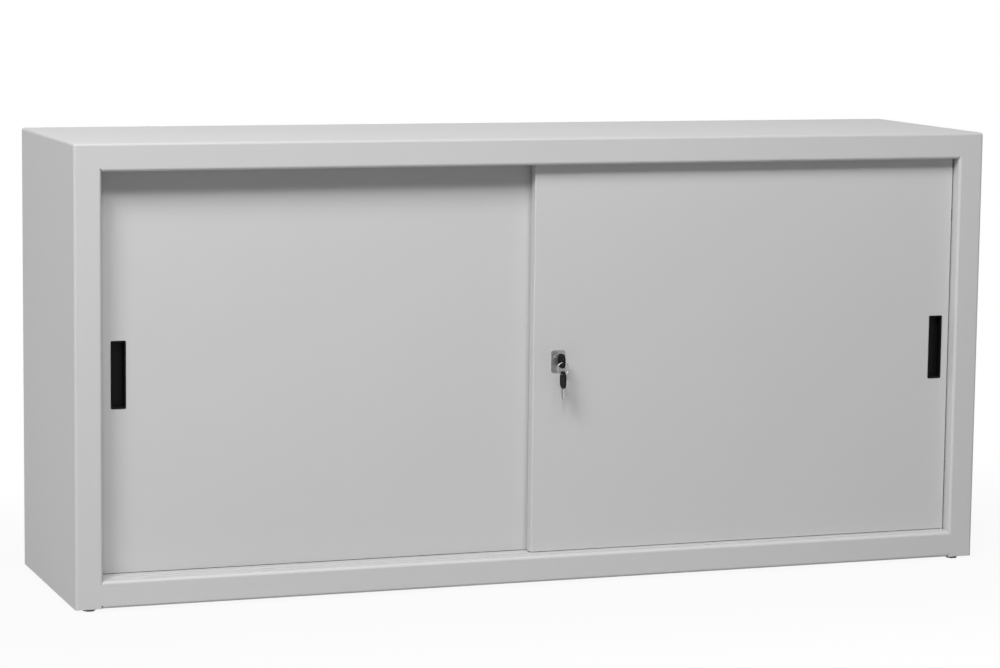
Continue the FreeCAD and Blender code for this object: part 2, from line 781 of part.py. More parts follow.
def door_panel(side):
    """Door pressed from one sheet: face, four returns and a rim turned in behind."""
    door = DOORS[side]
    low, high, face = door["low"], door["high"], door["face"]
    rear = f"({face} + door_thickness)"
    body = new_body(f"{side}_door_panel")
    outline = rect(low, high, DOOR_BOTTOM, DOOR_TOP)
    pad(body, "Y", [outline], face, rear)
    round_corners(body, "Z", [(low, face), (high, face)], "door_bend")
    inside = rect(f"{low} + door_sheet", f"{high} - door_sheet",
                  f"{DOOR_BOTTOM} + door_sheet", f"{DOOR_TOP} - door_sheet")
    pocket(body, "Y", [inside], f"{face} + door_sheet", f"{rear} - door_sheet")
    window = rect(f"{low} + door_rim", f"{high} - door_rim",
                  f"{DOOR_BOTTOM} + door_rim", f"{DOOR_TOP} - door_rim")
    pocket(body, "Y", [window], f"{rear} - door_sheet", rear)
    slots = [rect(f"{x} - roller_slot_length / 2", f"{x} + roller_slot_length / 2",
                  f"{door['middle']} - roller_slot_width / 2", f"{door['middle']} + roller_slot_width / 2")
             for x in roller_places(door)]
    pocket(body, "Z", slots, DOOR_BOTTOM, f"{DOOR_BOTTOM} + door_sheet")
    pegs = [square(x, door["middle"], "(guide_peg / 2 + guide_peg_gap)") for x in guide_places(door)]
    pocket(body, "Z", pegs, f"{DOOR_TOP} - door_sheet", DOOR_TOP)
    pull = rect(f"{door['pull']} - pull_width / 2 + pull_lip - pull_fit",
                f"{door['pull']} + pull_width / 2 - pull_lip + pull_fit",
                f"{PULL_LEVEL} - pull_height / 2 + pull_lip - pull_fit",
                f"{PULL_LEVEL} + pull_height / 2 - pull_lip + pull_fit")
    openings = [pull]
    if side == "right":
        openings += [circle(LOCK_X, LOCK_LEVEL, "plug_radius + plug_gap")]
        openings += [square(x, z, "(lug_size / 2 + lug_gap)") for x, z in LUG_SPOTS]
    pocket(body, "Y", openings, face, f"{face} + door_sheet")
    return body


def door_stiffener(side):
    """Hat section behind the middle of the door face."""
    door = DOORS[side]
    middle = f"(({door['low']}) + ({door['high']})) / 2"
    behind = f"({door['face']} + door_sheet)"
    deep = f"({behind} + stiffener_depth)"
    half = "stiffener_width / 2"
    path = [
        (f"{middle} - {half} - stiffener_flange", behind),
        (f"{middle} - {half}", behind),
        (f"{middle} - {half}", deep),
        (f"{middle} + {half}", deep),
        (f"{middle} + {half}", behind),
        (f"{middle} + {half} + stiffener_flange", behind),
    ]
    return folded(f"{side}_door_stiffener", "Z", path, 1, f"{DOOR_BOTTOM} + door_sheet",
                  f"{DOOR_TOP} - door_sheet", "door_sheet", None)


def pull_cup(side):
    """Moulded finger pull: a rim on the door face and a well behind it."""
    door = DOORS[side]
    face = door["face"]
    body = new_body(f"{side}_door_pull")

    def frame(inset):
        across, up = f"(pull_width / 2 - {inset})", f"(pull_height / 2 - {inset})"
        return rect(f"{door['pull']} - {across}", f"{door['pull']} + {across}",
                    f"{PULL_LEVEL} - {up}", f"{PULL_LEVEL} + {up}")

    pad(body, "Y", [frame("0")], f"{face} - pull_rim", face)
    corners = [(f"{door['pull']} + {u} * pull_width / 2", f"{PULL_LEVEL} + {v} * pull_height / 2")
               for u in (-1, 1) for v in (-1, 1)]
    round_corners(body, "Y", corners, "pull_corner")
    pad(body, "Y", [frame("pull_lip")], face, f"{face} + pull_depth")
    well = frame("(pull_lip + pull_wall)")
    pocket(body, "Y", [well], f"{face} - pull_rim", f"{face} + pull_depth - pull_wall")
    return body


def roller_brackets(side):
    """Inverted U brackets in the foot of the door, punched square for the roller axles."""
    door = DOORS[side]
    body = new_body(f"{side}_door_roller_brackets")
    rear = f"({door['face']} + door_thickness - door_sheet)"
    front = f"({door['middle']} * 2 - {rear})"
    foot = f"({DOOR_BOTTOM} + door_sheet + bracket_foot_gap)"
    crown = f"({AXLE_LEVEL} + roller_radius + bracket_headroom)"
    section = [
        (front, foot), (front, crown), (rear, crown), (rear, foot),
        (f"{rear} - bracket_sheet", foot),
        (f"{rear} - bracket_sheet", f"{crown} - bracket_sheet"),
        (f"{front} + bracket_sheet", f"{crown} - bracket_sheet"),
        (f"{front} + bracket_sheet", foot),
    ]
    for x in roller_places(door):
        pad(body, "X", [section], f"{x} - bracket_length / 2", f"{x} + bracket_length / 2")
    round_corners(body, "X", [(front, crown), (rear, crown)], "bracket_bend")
    axle_holes = [square(x, AXLE_LEVEL, "axle_square / 2") for x in roller_places(door)]
    pocket(body, "Y", axle_holes, front, rear)
    return body


def roller_axles(side):
    """Axles with square ends riveted flush in the brackets' cheeks."""
    door = DOORS[side]
    body = new_body(f"{side}_door_axles")
    cheek = "(door_thickness / 2 - door_sheet)"
    inner = f"({cheek} - bracket_sheet - axle_shoulder)"
    ends = [square(x, AXLE_LEVEL, "axle_square / 2") for x in roller_places(door)]
    pad(body, "Y", ends, f"{door['middle']} - {cheek}", f"{door['middle']} + {cheek}")
    pins = [circle(x, AXLE_LEVEL, "axle_radius") for x in roller_places(door)]
    pad(body, "Y", pins, f"{door['middle']} - {inner}", f"{door['middle']} + {inner}")
    return body


def roller(side, name, x):
    """Nylon wheel that turns on its axle and runs in the floor rail."""
    door = DOORS[side]
    body = new_body(f"{side}_door_roller_{name}")
    rings = [circle(x, AXLE_LEVEL, "roller_radius"), circle(x, AXLE_LEVEL, "axle_radius + roller_bore_gap")]
    pad(body, "Y", rings, f"{door['middle']} - roller_width / 2", f"{door['middle']} + roller_width / 2")
    return body


def door_guides(side):
    """Nylon blocks with square pegs, snapped into the door head, which run in the track above."""
    door = DOORS[side]
    body = new_body(f"{side}_door_guides")
    half_width = "(channel_width / 2 - guide_play)"
    front, back = f"({door['middle']} - {half_width})", f"({door['middle']} + {half_width})"
    blocks = [clipped(f"({x} - guide_length / 2)", f"({x} + guide_length / 2)", front, back, "guide_lead")
              for x in guide_places(door)]
    pad(body, "Z", blocks, DOOR_TOP, f"{DOOR_TOP} + guide_height")
    pegs = [square(x, door["middle"], "guide_peg / 2") for x in guide_places(door)]
    pad(body, "Z", pegs, f"{DOOR_TOP} - guide_peg_length", DOOR_TOP)
    return body


# ---------------------------------------------------------------- lock
LUG_SPOTS = [
    (f"({LOCK_X} - lug_spread)", "(lock_level - plate_drop + lug_rise)"),
    (f"({LOCK_X} + lug_spread)", "(lock_level - plate_drop - lug_rise)"),
]
BOLT_LEVEL = "(lock_level - bolt_drop)"
PLUG_FACE = f"({RIGHT_DOOR_FACE} - plug_proud)"


def lock_escutcheon():
    """Plate on the door face with a raised collar round the plug, held by the case's lugs."""
    body = new_body("lock_escutcheon")
    level = "(lock_level - plate_drop)"
    left, right = f"({LOCK_X} - plate_width / 2)", f"({LOCK_X} + plate_width / 2)"
    foot, head = f"({level} - plate_height / 2)", f"({level} + plate_height / 2)"
    front = f"({RIGHT_DOOR_FACE} - plate_thickness)"
    pad(body, "Y", [clipped(left, right, foot, head, "plate_corner")], front, RIGHT_DOOR_FACE)
    pad(body, "Y", [circle(LOCK_X, LOCK_LEVEL, "collar_radius")], f"{front} - collar_height", front)
    pocket(body, "Y", [circle(LOCK_X, LOCK_LEVEL, "plug_radius + plug_gap")],
           f"{front} - collar_height", RIGHT_DOOR_FACE)
    pockets = [square(x, z, "(lug_size / 2 + lug_gap)") for x, z in LUG_SPOTS]
    pocket(body, "Y", pockets, f"{RIGHT_DOOR_FACE} - lug_grip", RIGHT_DOOR_FACE)
    return body


def lock_housing():
    """Cast case behind the door face, bored for the plug and the bolt, with two staked lugs."""
    body = new_body("lock_housing")
    middle = "(lock_level - housing_drop)"
    front = f"({RIGHT_DOOR_FACE} + door_sheet)"
    rear = f"({front} + housing_depth)"
    left, right = f"({LOCK_X} - housing_width / 2)", f"({LOCK_X} + housing_width / 2)"
    foot, head = f"({middle} - housing_height / 2)", f"({middle} + housing_height / 2)"
    pad(body, "Y", [clipped(left, right, foot, head, "housing_corner")], front, rear)
    lugs = [square(x, z, "lug_size / 2") for x, z in LUG_SPOTS]
    pad(body, "Y", lugs, f"{RIGHT_DOOR_FACE} - lug_grip", front)
    bores = [circle(LOCK_X, LOCK_LEVEL, "plug_radius + plug_gap"),
             circle(LOCK_X, BOLT_LEVEL, "bolt_radius + plug_gap")]
    pocket(body, "Y", bores, front, rear)
    return body


def lock_plug():
    """Turning plug with the keyway."""
    body = new_body("lock_plug")
    rear = f"({PLUG_FACE} + plug_length)"
    pad(body, "Y", [circle(LOCK_X, LOCK_LEVEL, "plug_radius")], PLUG_FACE, rear)
    half_gap = "(blade_thickness / 2 + key_play)"
    keyway = rect(f"{LOCK_X} - {half_gap}", f"{LOCK_X} + {half_gap}",
                  "lock_level - blade_height / 2 - key_play", "lock_level + blade_height / 2 + key_play")
    pocket(body, "Y", [keyway], PLUG_FACE, f"{PLUG_FACE} + blade_length + keyway_spare")
    return body


def lock_bolt():
    """Round bolt that stands out behind the door and past the other door's edge when locked."""
    body = new_body("lock_bolt")
    rear = f"({RIGHT_DOOR_FACE} + door_sheet + bolt_seat)"
    pad(body, "Y", [circle(LOCK_X, BOLT_LEVEL, "bolt_radius")], f"{rear} - bolt_length", rear)
    return body


# ---------------------------------------------------------------- keys
BOW_REAR = f"({PLUG_FACE} - key_gap)"
BOW_FRONT = f"({PLUG_FACE} - key_gap - bow_length)"
KEY_HOLE_Y = f"({BOW_FRONT} + bow_hole_inset)"
RING_TOP = "(lock_level - bow_hole_radius + ring_wire_radius + ring_lift)"
RING_FOOT = f"({RING_TOP} - 2 * ring_radius)"
SPARE_HOLE = f"({RING_FOOT} - bow_hole_radius + ring_wire_radius + ring_lift)"
SPARE_TOP = f"({SPARE_HOLE} + bow_hole_inset)"


def key_outline(across, along, start, direction):
    """Blade outline with its bitting: across is the blade's middle line, start is the shoulder."""
    half = "blade_height / 2"
    edge = f"{across} + {half}"
    upper = [(f"{start} - {direction} * blade_tang", edge)]
    cuts = cell("tooth_count")
    for i in range(cuts):
        root = f"(blade_length - blade_tip + ({i} - {cuts}) * tooth_pitch)"
        cut = f"{edge} - tooth_depth + {i % 3} * tooth_step"
        upper.append((f"{start} + {direction} * {root}", edge))
        upper.append((f"{start} + {direction} * ({root} + tooth_slope)", cut))
        upper.append((f"{start} + {direction} * ({root} + tooth_slope + tooth_land)", cut))
    upper.append((f"{start} + {direction} * (blade_length - blade_tip)", edge))
    upper.append((f"{start} + {direction} * blade_length", across))
    lower = [
        (f"{start} + {direction} * (blade_length - blade_tip)", f"{across} - {half}"),
        (f"{start} - {direction} * blade_tang", f"{across} - {half}"),
    ]
    return upper + lower


def key_bow(label, rect_y, rect_z, hole, slot):
    """Moulded head with a ring hole and the pocket that holds the blade's tang."""
    body = new_body(label)
    half = "bow_thickness / 2"
    pad(body, "X", [rect(*rect_y, *rect_z)], f"{LOCK_X} - {half}", f"{LOCK_X} + {half}")
    corners = [(y, z) for y in rect_y for z in rect_z]
    round_corners(body, "X", corners, "bow_corner")
    pocket(body, "X", [circle(*hole, "bow_hole_radius")], f"{LOCK_X} - {half}", f"{LOCK_X} + {half}")
    thin = "blade_thickness / 2"
    pocket(body, "X", [rect(*slot)], f"{LOCK_X} - {thin}", f"{LOCK_X} + {thin}")
    return body


def blade(label, outline):
    body = new_body(label)
    thin = "blade_thickness / 2"
    pad(body, "X", [outline], f"{LOCK_X} - {thin}", f"{LOCK_X} + {thin}")
    return body


def lock_key():
    """The key in the lock, its head upright in line with the keyway."""
    half = "bow_height / 2"
    bow = key_bow("key_bow", (BOW_FRONT, BOW_REAR), (f"lock_level - {half}", f"lock_level + {half}"),
                  (KEY_HOLE_Y, LOCK_LEVEL),
                  (f"{BOW_REAR} - blade_tang", BOW_REAR, "lock_level - blade_height / 2",
                   "lock_level + blade_height / 2"))
    metal = blade("key_blade", key_outline(LOCK_LEVEL, "Y", BOW_REAR, 1))
    return bow, metal


def spare_key():
    """The spare key, hanging head up from the ring."""
    half = "bow_height / 2"
    foot = f"({SPARE_TOP} - bow_length)"
    bow = key_bow("spare_key_bow", (f"{KEY_HOLE_Y} - {half}", f"{KEY_HOLE_Y} + {half}"), (foot, SPARE_TOP),
                  (KEY_HOLE_Y, SPARE_HOLE),
                  (f"{KEY_HOLE_Y} - blade_height / 2", f"{KEY_HOLE_Y} + blade_height / 2",
                   foot, f"{foot} + blade_tang"))
    outline = [(y, z) for z, y in key_outline(KEY_HOLE_Y, "Z", foot, -1)]
    metal = blade("spare_key_blade", outline)
    return bow, metal


def key_ring():
    """Flat steel ring through both key heads."""
    body = new_body("key_ring")
    middle = f"{RING_TOP} - ring_radius"
    rings = [circle(LOCK_X, middle, f"ring_radius {sign} ring_wire_radius") for sign in "+-"]
    pad(body, "Y", rings, f"{KEY_HOLE_Y} - ring_wire_radius", f"{KEY_HOLE_Y} + ring_wire_radius")
    return body


# ---------------------------------------------------------------- assembly
def build_carcass():
    inner_wall = f"({HALF} - sheet)"
    web = "(sheet / 2)"
    slot_side = "(upright_depth + shelf_side_gap)"
    node(side_panel("left_side_panel", -1))
    node(side_panel("right_side_panel", 1))
    node(top_panel())
    node(bottom_panel())
    node(back_panel())
    node(centre_divider())
    node(guide_track())
    node(running_rail())
    node(door_buffers())
    node(shelf_uprights("left_wall_uprights", f"(-{inner_wall})", 1))
    node(shelf_uprights("divider_left_uprights", f"(-{web})", -1))
    node(shelf_uprights("divider_right_uprights", web, 1))
    node(shelf_uprights("right_wall_uprights", inner_wall, -1))
    node(shelf("left_shelf", f"({slot_side} - {inner_wall})", f"(-{web} - {slot_side})"))
    node(shelf("right_shelf", f"({web} + {slot_side})", f"({inner_wall} - {slot_side})"))
    node(shelf_clips("left_shelf_clips", [(f"(-{inner_wall})", 1), (f"(-{web})", -1)]))
    node(shelf_clips("right_shelf_clips", [(web, 1), (inner_wall, -1)]))
    node(foot_plates())


def build_doors():
    for side, door in DOORS.items():
        node(door_panel(side))
        node(door_stiffener(side))
        node(pull_cup(side))
        node(roller_brackets(side))
        node(roller_axles(side))
        node(door_guides(side))
        for name, x in zip("ab", roller_places(door)):
            node(roller(side, name, x))


def build_lock():
    node(lock_escutcheon())
    node(lock_housing())
    node(lock_plug())
    node(lock_bolt())
    for piece in lock_key() + spare_key():
        node(piece)
    node(key_ring())


def build_feet():
    for corner in FOOT_SPOTS:
        node(foot_pad(corner))
        node(foot_stud(corner))


def check_model():
    """Stop if any object failed, or any node's shape is empty or broken."""
    faulty = [o.Label for o in doc.Objects if {"Invalid", "Error"} & set(o.State)]
    if faulty:
        raise RuntimeError(f"these objects failed to build: {faulty}")
    for piece in NODES:
        if piece.Shape.isNull() or not piece.Shape.Solids or not piece.Shape.isValid():
            raise RuntimeError(f"{piece.Label} has no valid solid")


def write_parts():
    os.makedirs("parts", exist_ok=True)
    for piece in NODES:
        piece.Shape.exportStep(f"parts/{piece.Label}.step")
    print(f"{len(NODES)} nodes written")


build_carcass()
build_doors()
build_lock()
build_feet()
doc.recompute()
check_model()
write_parts()
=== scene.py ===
"""Finishes, fittings and studio for the steel cabinet with sliding doors.

Metres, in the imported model's own frame: X to the right, Y to the back, Z up, with the origin
on the floor under the middle of the cabinet. The script runs as a Blender add-on would: each
operator dresses one group of pieces, and main() calls them in order.
"""
import json
import math

import bmesh
import bpy
from bpy.props import FloatProperty, FloatVectorProperty, IntProperty, PointerProperty
from mathutils import Matrix, Vector


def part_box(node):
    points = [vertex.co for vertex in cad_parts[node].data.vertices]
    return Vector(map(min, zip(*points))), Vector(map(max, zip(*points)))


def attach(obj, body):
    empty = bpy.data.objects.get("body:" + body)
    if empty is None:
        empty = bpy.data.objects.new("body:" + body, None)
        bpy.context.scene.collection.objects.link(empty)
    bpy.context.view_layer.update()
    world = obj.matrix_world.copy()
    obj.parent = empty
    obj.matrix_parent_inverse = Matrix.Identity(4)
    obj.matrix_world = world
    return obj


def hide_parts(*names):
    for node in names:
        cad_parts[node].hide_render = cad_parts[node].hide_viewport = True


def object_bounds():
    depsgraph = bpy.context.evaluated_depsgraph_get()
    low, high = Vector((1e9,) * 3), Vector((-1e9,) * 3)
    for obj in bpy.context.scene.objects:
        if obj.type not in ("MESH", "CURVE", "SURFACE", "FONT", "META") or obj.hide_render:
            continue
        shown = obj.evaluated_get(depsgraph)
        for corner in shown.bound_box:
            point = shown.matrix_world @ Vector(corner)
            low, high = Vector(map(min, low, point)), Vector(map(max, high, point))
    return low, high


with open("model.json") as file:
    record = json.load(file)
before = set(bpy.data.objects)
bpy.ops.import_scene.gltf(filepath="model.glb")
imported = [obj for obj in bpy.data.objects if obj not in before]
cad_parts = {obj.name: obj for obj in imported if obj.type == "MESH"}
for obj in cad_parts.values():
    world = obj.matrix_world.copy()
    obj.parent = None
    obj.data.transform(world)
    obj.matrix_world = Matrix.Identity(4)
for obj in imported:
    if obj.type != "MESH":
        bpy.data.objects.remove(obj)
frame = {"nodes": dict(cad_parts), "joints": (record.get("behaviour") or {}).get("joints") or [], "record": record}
cad_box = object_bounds()

bl_info = {
    "name": "Sliding Door Cabinet",
    "version": (1, 0, 0),
    "blender": (4, 5, 0),
    "location": "3D View > Sidebar > Cabinet",
    "description": "Dresses a steel cabinet with sliding doors and sets its studio",
    "category": "Object",
}

MM = 0.001
WHITE = (1.0, 1.0, 1.0, 1.0)
SLOT_OF = {part["node"]: part["material_slot"] for part in frame["record"]["subparts"]}
BODY_OF = {node: body for body, nodes in frame["record"]["behaviour"]["bodies"].items()
           for node in nodes}
CORNERS = ("front_left", "front_right", "rear_left", "rear_right")
SIDES = ("left", "right")


# ---------------------------------------------------------------- settings
def length(label, description, default):
    """A size in metres."""
    return FloatProperty(name=label, description=description, default=default, min=0.0,
                         unit="LENGTH", precision=5)


def share(label, description, default):
    """A number from 0 to 1."""
    return FloatProperty(name=label, description=description, default=default, min=0.0, max=1.0,
                         subtype="FACTOR", precision=3)


def colour(label, description, default):
    """A linear colour."""
    return FloatVectorProperty(name=label, description=description, default=default, min=0.0,
                               max=1.0, size=3, subtype="COLOR")


class PaintSettings(bpy.types.PropertyGroup):
    """Powder coat on the sheet metal"""
    tint: colour("Tint", "Colour of the coat", (0.600, 0.600, 0.600))
    drift: share("Drift", "Share by which the colour wanders over a panel", 0.012)
    drift_size: length("Drift size", "Width of one patch of that drift", 0.35)
    roughness: share("Roughness", "Blur of what the coat reflects", 0.46)
    peel_size: length("Peel size", "Width of one ripple in the coat", 0.0011)
    peel_depth: length("Peel depth", "Height of one ripple in the coat", 0.000012)


class MetalSettings(bpy.types.PropertyGroup):
    """Bare and plated metals"""
    zinc: colour("Zinc", "Plated brackets, clips and track", (0.60, 0.61, 0.63))
    steel: colour("Steel", "Turned axles, studs and the bolt", (0.50, 0.50, 0.50))
    nickel: colour("Nickel", "Key blades and ring", (0.50, 0.49, 0.48))
    chrome: colour("Chrome", "Lock plate and plug", (0.295, 0.295, 0.295))
    grain_size: length("Grain size", "Width of one scratch or crystal", 0.0012)


class PlasticSettings(bpy.types.PropertyGroup):
    """Moulded plastics and rubber"""
    black: colour("Black", "Finger pulls and key heads", (0.0030, 0.0030, 0.0032))
    foot_grey: colour("Foot grey", "Levelling feet", (0.38, 0.38, 0.38))
    nylon: colour("Nylon", "Rollers and guides", (0.76, 0.74, 0.66))
    rubber: colour("Rubber", "Door buffers", (0.035, 0.035, 0.036))
    grain_size: length("Grain size", "Width of one dimple of the moulded grain", 0.0005)


class FittingSettings(bpy.types.PropertyGroup):
    """Sizes of the small fittings"""
    sheet_edge: length("Sheet edge", "Break along the edges of sheet metal", 0.0002)
    soft_edge: length("Soft edge", "Rounding along the edges of mouldings", 0.0006)
    plate_edge: length("Plate edge", "Rounding along the edges of the lock's metal", 0.0003)
    bow_recess: length("Bow recess", "Depth of the recess in a key head", 0.0003)
    bow_rim: length("Bow rim", "Width of the rim round that recess", 0.0026)
    groove_width: length("Groove width", "Width of the groove along a key blade", 0.0014)
    groove_depth: length("Groove depth", "Depth of that groove", 0.0005)
    ring_wire: length("Ring wire", "Radius of the key ring's wire", 0.0005)
    ring_turns: FloatProperty(name="Ring turns", description="Turns of the split key ring",
                              default=1.9, min=1.0, max=4.0)
    thread_pitch: length("Thread pitch", "Rise of a levelling foot in one turn", 0.00125)
    thread_depth: length("Thread depth", "Depth of that thread", 0.0006)
    nut_width: length("Nut width", "Width of a weld nut across its flats", 0.013)
    nut_height: length("Nut height", "Height of a weld nut", 0.0065)
    rivet_radius: length("Rivet radius", "Radius of a blind rivet's head", 0.0032)
    rivet_rise: length("Rivet rise", "Height of a blind rivet's head", 0.0009)
    weld_radius: length("Weld radius", "Radius of a spot weld's dimple", 0.0030)
    weld_rise: length("Weld rise", "Height of the lip round a spot weld", 0.00012)
    screw_radius: length("Screw radius", "Radius of a rail screw's head", 0.0029)
    screw_rise: length("Screw rise", "Height of a rail screw's head", 0.0012)
    bearing_radius: length("Bearing radius", "Radius of a roller's bearing", 0.0070)
    ball_count: IntProperty(name="Balls", description="Balls in a roller's bearing", default=9,
                            min=3)


class StageSettings(bpy.types.PropertyGroup):
    """Camera, lamps and floor"""
    camera_place: FloatVectorProperty(name="Camera place", description="Where the camera stands",
                                      default=(-1.90077, -5.17864, 1.09914), size=3,
                                      subtype="TRANSLATION", unit="LENGTH")
    camera_turn: FloatProperty(name="Camera turn", description="Turn from +Y towards +X",
                               default=0.34944, subtype="ANGLE", unit="ROTATION")
    camera_dip: FloatProperty(name="Camera dip", description="Angle below the horizon",
                              default=0.12615, subtype="ANGLE", unit="ROTATION")
    camera_roll: FloatProperty(name="Camera roll", description="Lean of the horizon",
                               default=0.01193, subtype="ANGLE", unit="ROTATION")
    camera_lens: FloatProperty(name="Lens", description="Focal length on a 36 mm sensor",
                               default=116.55, unit="CAMERA")
    floor_reach: length("Floor reach", "Half the side of the floor", 30.0)
    floor_tint: colour("Floor tint", "Colour of the floor", (0.48, 0.48, 0.48))
    floor_glow: share("Floor glow", "Share of plain white seen in the floor by the cabinet", 0.93)
    floor_fade: length("Floor fade", "Distance at which the floor is seen as plain white", 0.9)
    ambient: FloatProperty(name="Ambient", description="Strength of the world's even light",
                           default=0.02, min=0.0)
    left_power: FloatProperty(name="Left", description="Power of the soft lamp high at the left",
                              default=186.0, unit="POWER")
    middle_power: FloatProperty(name="Middle", description="Power of the soft lamp high in front",
                                default=82.0, unit="POWER")
    key_power: FloatProperty(name="Key", description="Power of the small lamp in front",
                             default=68.0, unit="POWER")
    side_power: FloatProperty(name="Side", description="Power of the low lamp on the left",
                              default=3.4, unit="POWER")
    rear_power: FloatProperty(name="Rear", description="Power of the lamp behind the cabinet",
                              default=110.0, unit="POWER")


SETTINGS = {
    "cabinet_paint": PaintSettings,
    "cabinet_metal": MetalSettings,
    "cabinet_plastic": PlasticSettings,
    "cabinet_fitting": FittingSettings,
    "cabinet_stage": StageSettings,
}


# ---------------------------------------------------------------- finishes
def new_finish(name, tint, roughness, metallic=0.0):
    """A material whose constant numbers stand on the shader itself."""
    finish = bpy.data.materials.new(name)
    finish.use_nodes = True
    shader = finish.node_tree.nodes["Principled BSDF"]
    shader.inputs["Base Color"].default_value = (*tint, 1.0)
    shader.inputs["Roughness"].default_value = roughness
    shader.inputs["Metallic"].default_value = metallic
    return finish, finish.node_tree, shader


def pattern(tree, kind, size, stretch=(1.0, 1.0, 1.0), detail=2.0):
    """A noise or cell pattern on the piece's own coordinates, one feature being about size wide."""
    place = tree.nodes.new("ShaderNodeTexCoord")
    mapping = tree.nodes.new("ShaderNodeMapping")
    mapping.inputs["Scale"].default_value = stretch
    texture = tree.nodes.new(kind)
    texture.inputs["Scale"].default_value = 1.0 / size
    texture.inputs["Detail"].default_value = detail
    tree.links.new(place.outputs["Object"], mapping.inputs["Vector"])
    tree.links.new(mapping.outputs["Vector"], texture.inputs["Vector"])
    return texture.outputs[0]


def tint_drift(tree, shader, fac, tint, drift):
    """Let the base colour wander with the pattern, by the given share each way."""
    mix = tree.nodes.new("ShaderNodeMix")
    mix.data_type = "RGBA"
    mix.inputs["A"].default_value = (*[c * (1 - drift) for c in tint], 1.0)
    mix.inputs["B"].default_value = (*[min(c * (1 + drift), 1.0) for c in tint], 1.0)
    tree.links.new(fac, mix.inputs["Factor"])
    tree.links.new(mix.outputs["Result"], shader.inputs["Base Color"])


def gloss_drift(tree, shader, fac, low, high):
    """Let the roughness run from low to high with the pattern."""
    span = tree.nodes.new("ShaderNodeMapRange")
    span.inputs["To Min"].default_value = low
    span.inputs["To Max"].default_value = high
    tree.links.new(fac, span.inputs["Value"])
    tree.links.new(span.outputs["Result"], shader.inputs["Roughness"])


def relief(tree, shader, height, depth):
    """Raise the surface by the pattern, by the given depth in metres."""
    bump = tree.nodes.new("ShaderNodeBump")
    bump.inputs["Distance"].default_value = depth
    tree.links.new(height, bump.inputs["Height"])
    tree.links.new(bump.outputs["Normal"], shader.inputs["Normal"])


NOISE = "ShaderNodeTexNoise"
CELLS = "ShaderNodeTexVoronoi"


def grey_paint(name):
    """Semi-gloss powder coat with a slight orange peel and a slow drift of its shade."""
    paint = bpy.context.scene.cabinet_paint
    finish, tree, shader = new_finish(name, paint.tint, paint.roughness)
    shader.inputs["Specular IOR Level"].default_value = 0.4
    patches = pattern(tree, NOISE, paint.drift_size, detail=3.0)
    tint_drift(tree, shader, patches, paint.tint, paint.drift)
    gloss_drift(tree, shader, patches, low=paint.roughness - 0.04, high=paint.roughness + 0.04)
    relief(tree, shader, pattern(tree, NOISE, paint.peel_size, detail=1.0), paint.peel_depth)
    return finish


def zinc_plate(name):
    """Bright plate, clouded in small crystals."""
    metal = bpy.context.scene.cabinet_metal
    finish, tree, shader = new_finish(name, metal.zinc, roughness=0.34, metallic=1.0)
    crystals = pattern(tree, CELLS, 4 * metal.grain_size, detail=1.0)
    tint_drift(tree, shader, crystals, metal.zinc, drift=0.10)
    clouds = pattern(tree, NOISE, 8 * metal.grain_size)
    gloss_drift(tree, shader, clouds, low=0.26, high=0.44)
    relief(tree, shader, pattern(tree, NOISE, metal.grain_size), depth=0.000006)
    return finish


def scratched_metal(name, tint, stretch, low, high):
    """Metal with fine marks drawn out along the axis whose stretch is the smallest."""
    metal = bpy.context.scene.cabinet_metal
    finish, tree, shader = new_finish(name, tint, low, metallic=1.0)
    marks = pattern(tree, NOISE, metal.grain_size, stretch, detail=4.0)
    tint_drift(tree, shader, marks, tint, drift=0.06)
    gloss_drift(tree, shader, marks, low, high)
    relief(tree, shader, marks, depth=0.000008)
    return finish


def axle_steel(name):
    """Turned steel: rings round the piece show as fine even marks."""
    return scratched_metal(name, bpy.context.scene.cabinet_metal.steel, stretch=(1.0, 4.0, 4.0),
                           low=0.26, high=0.40)


def key_steel(name):
    """Nickel plate, worn dull."""
    return scratched_metal(name, bpy.context.scene.cabinet_metal.nickel, stretch=(2.0, 2.0, 0.6),
                           low=0.32, high=0.46)


def lock_chrome(name):
    """Satin chrome, brushed up and down."""
    return scratched_metal(name, bpy.context.scene.cabinet_metal.chrome, stretch=(3.0, 3.0, 0.15),
                           low=0.36, high=0.48)


def moulding(name, tint, low, high, grain_depth):
    """Plastic or rubber with a moulded grain."""
    plastic = bpy.context.scene.cabinet_plastic
    finish, tree, shader = new_finish(name, tint, low)
    clouds = pattern(tree, NOISE, 30 * plastic.grain_size)
    tint_drift(tree, shader, clouds, tint, drift=0.06)
    gloss_drift(tree, shader, clouds, low, high)
    relief(tree, shader, pattern(tree, CELLS, plastic.grain_size, detail=0.0), grain_depth)
    return finish


def black_plastic(name):
    """Black moulding with a fine grain."""
    finish = moulding(name, bpy.context.scene.cabinet_plastic.black, low=0.44, high=0.54,
                      grain_depth=0.00003)
    finish.node_tree.nodes["Principled BSDF"].inputs["Specular IOR Level"].default_value = 0.12
    return finish


def foot_plastic(name):
    """Grey moulding of the feet, dulled by the floor."""
    return moulding(name, bpy.context.scene.cabinet_plastic.foot_grey, low=0.50, high=0.65,
                    grain_depth=0.00004)


def pale_nylon(name):
    """Waxy off-white nylon, which lets a little light in."""
    finish = moulding(name, bpy.context.scene.cabinet_plastic.nylon, low=0.34, high=0.46,
                      grain_depth=0.00001)
    shader = finish.node_tree.nodes["Principled BSDF"]
    shader.inputs["Subsurface Weight"].default_value = 0.15
    shader.inputs["Subsurface Radius"].default_value = (0.002, 0.002, 0.0015)
    return finish


def buffer_rubber(name):
    """Dull rubber."""
    return moulding(name, bpy.context.scene.cabinet_plastic.rubber, low=0.68, high=0.82,
                    grain_depth=0.00005)


FINISHES = {maker.__name__: maker for maker in (
    grey_paint, zinc_plate, axle_steel, key_steel, lock_chrome, black_plastic, foot_plastic,
    pale_nylon, buffer_rubber)}


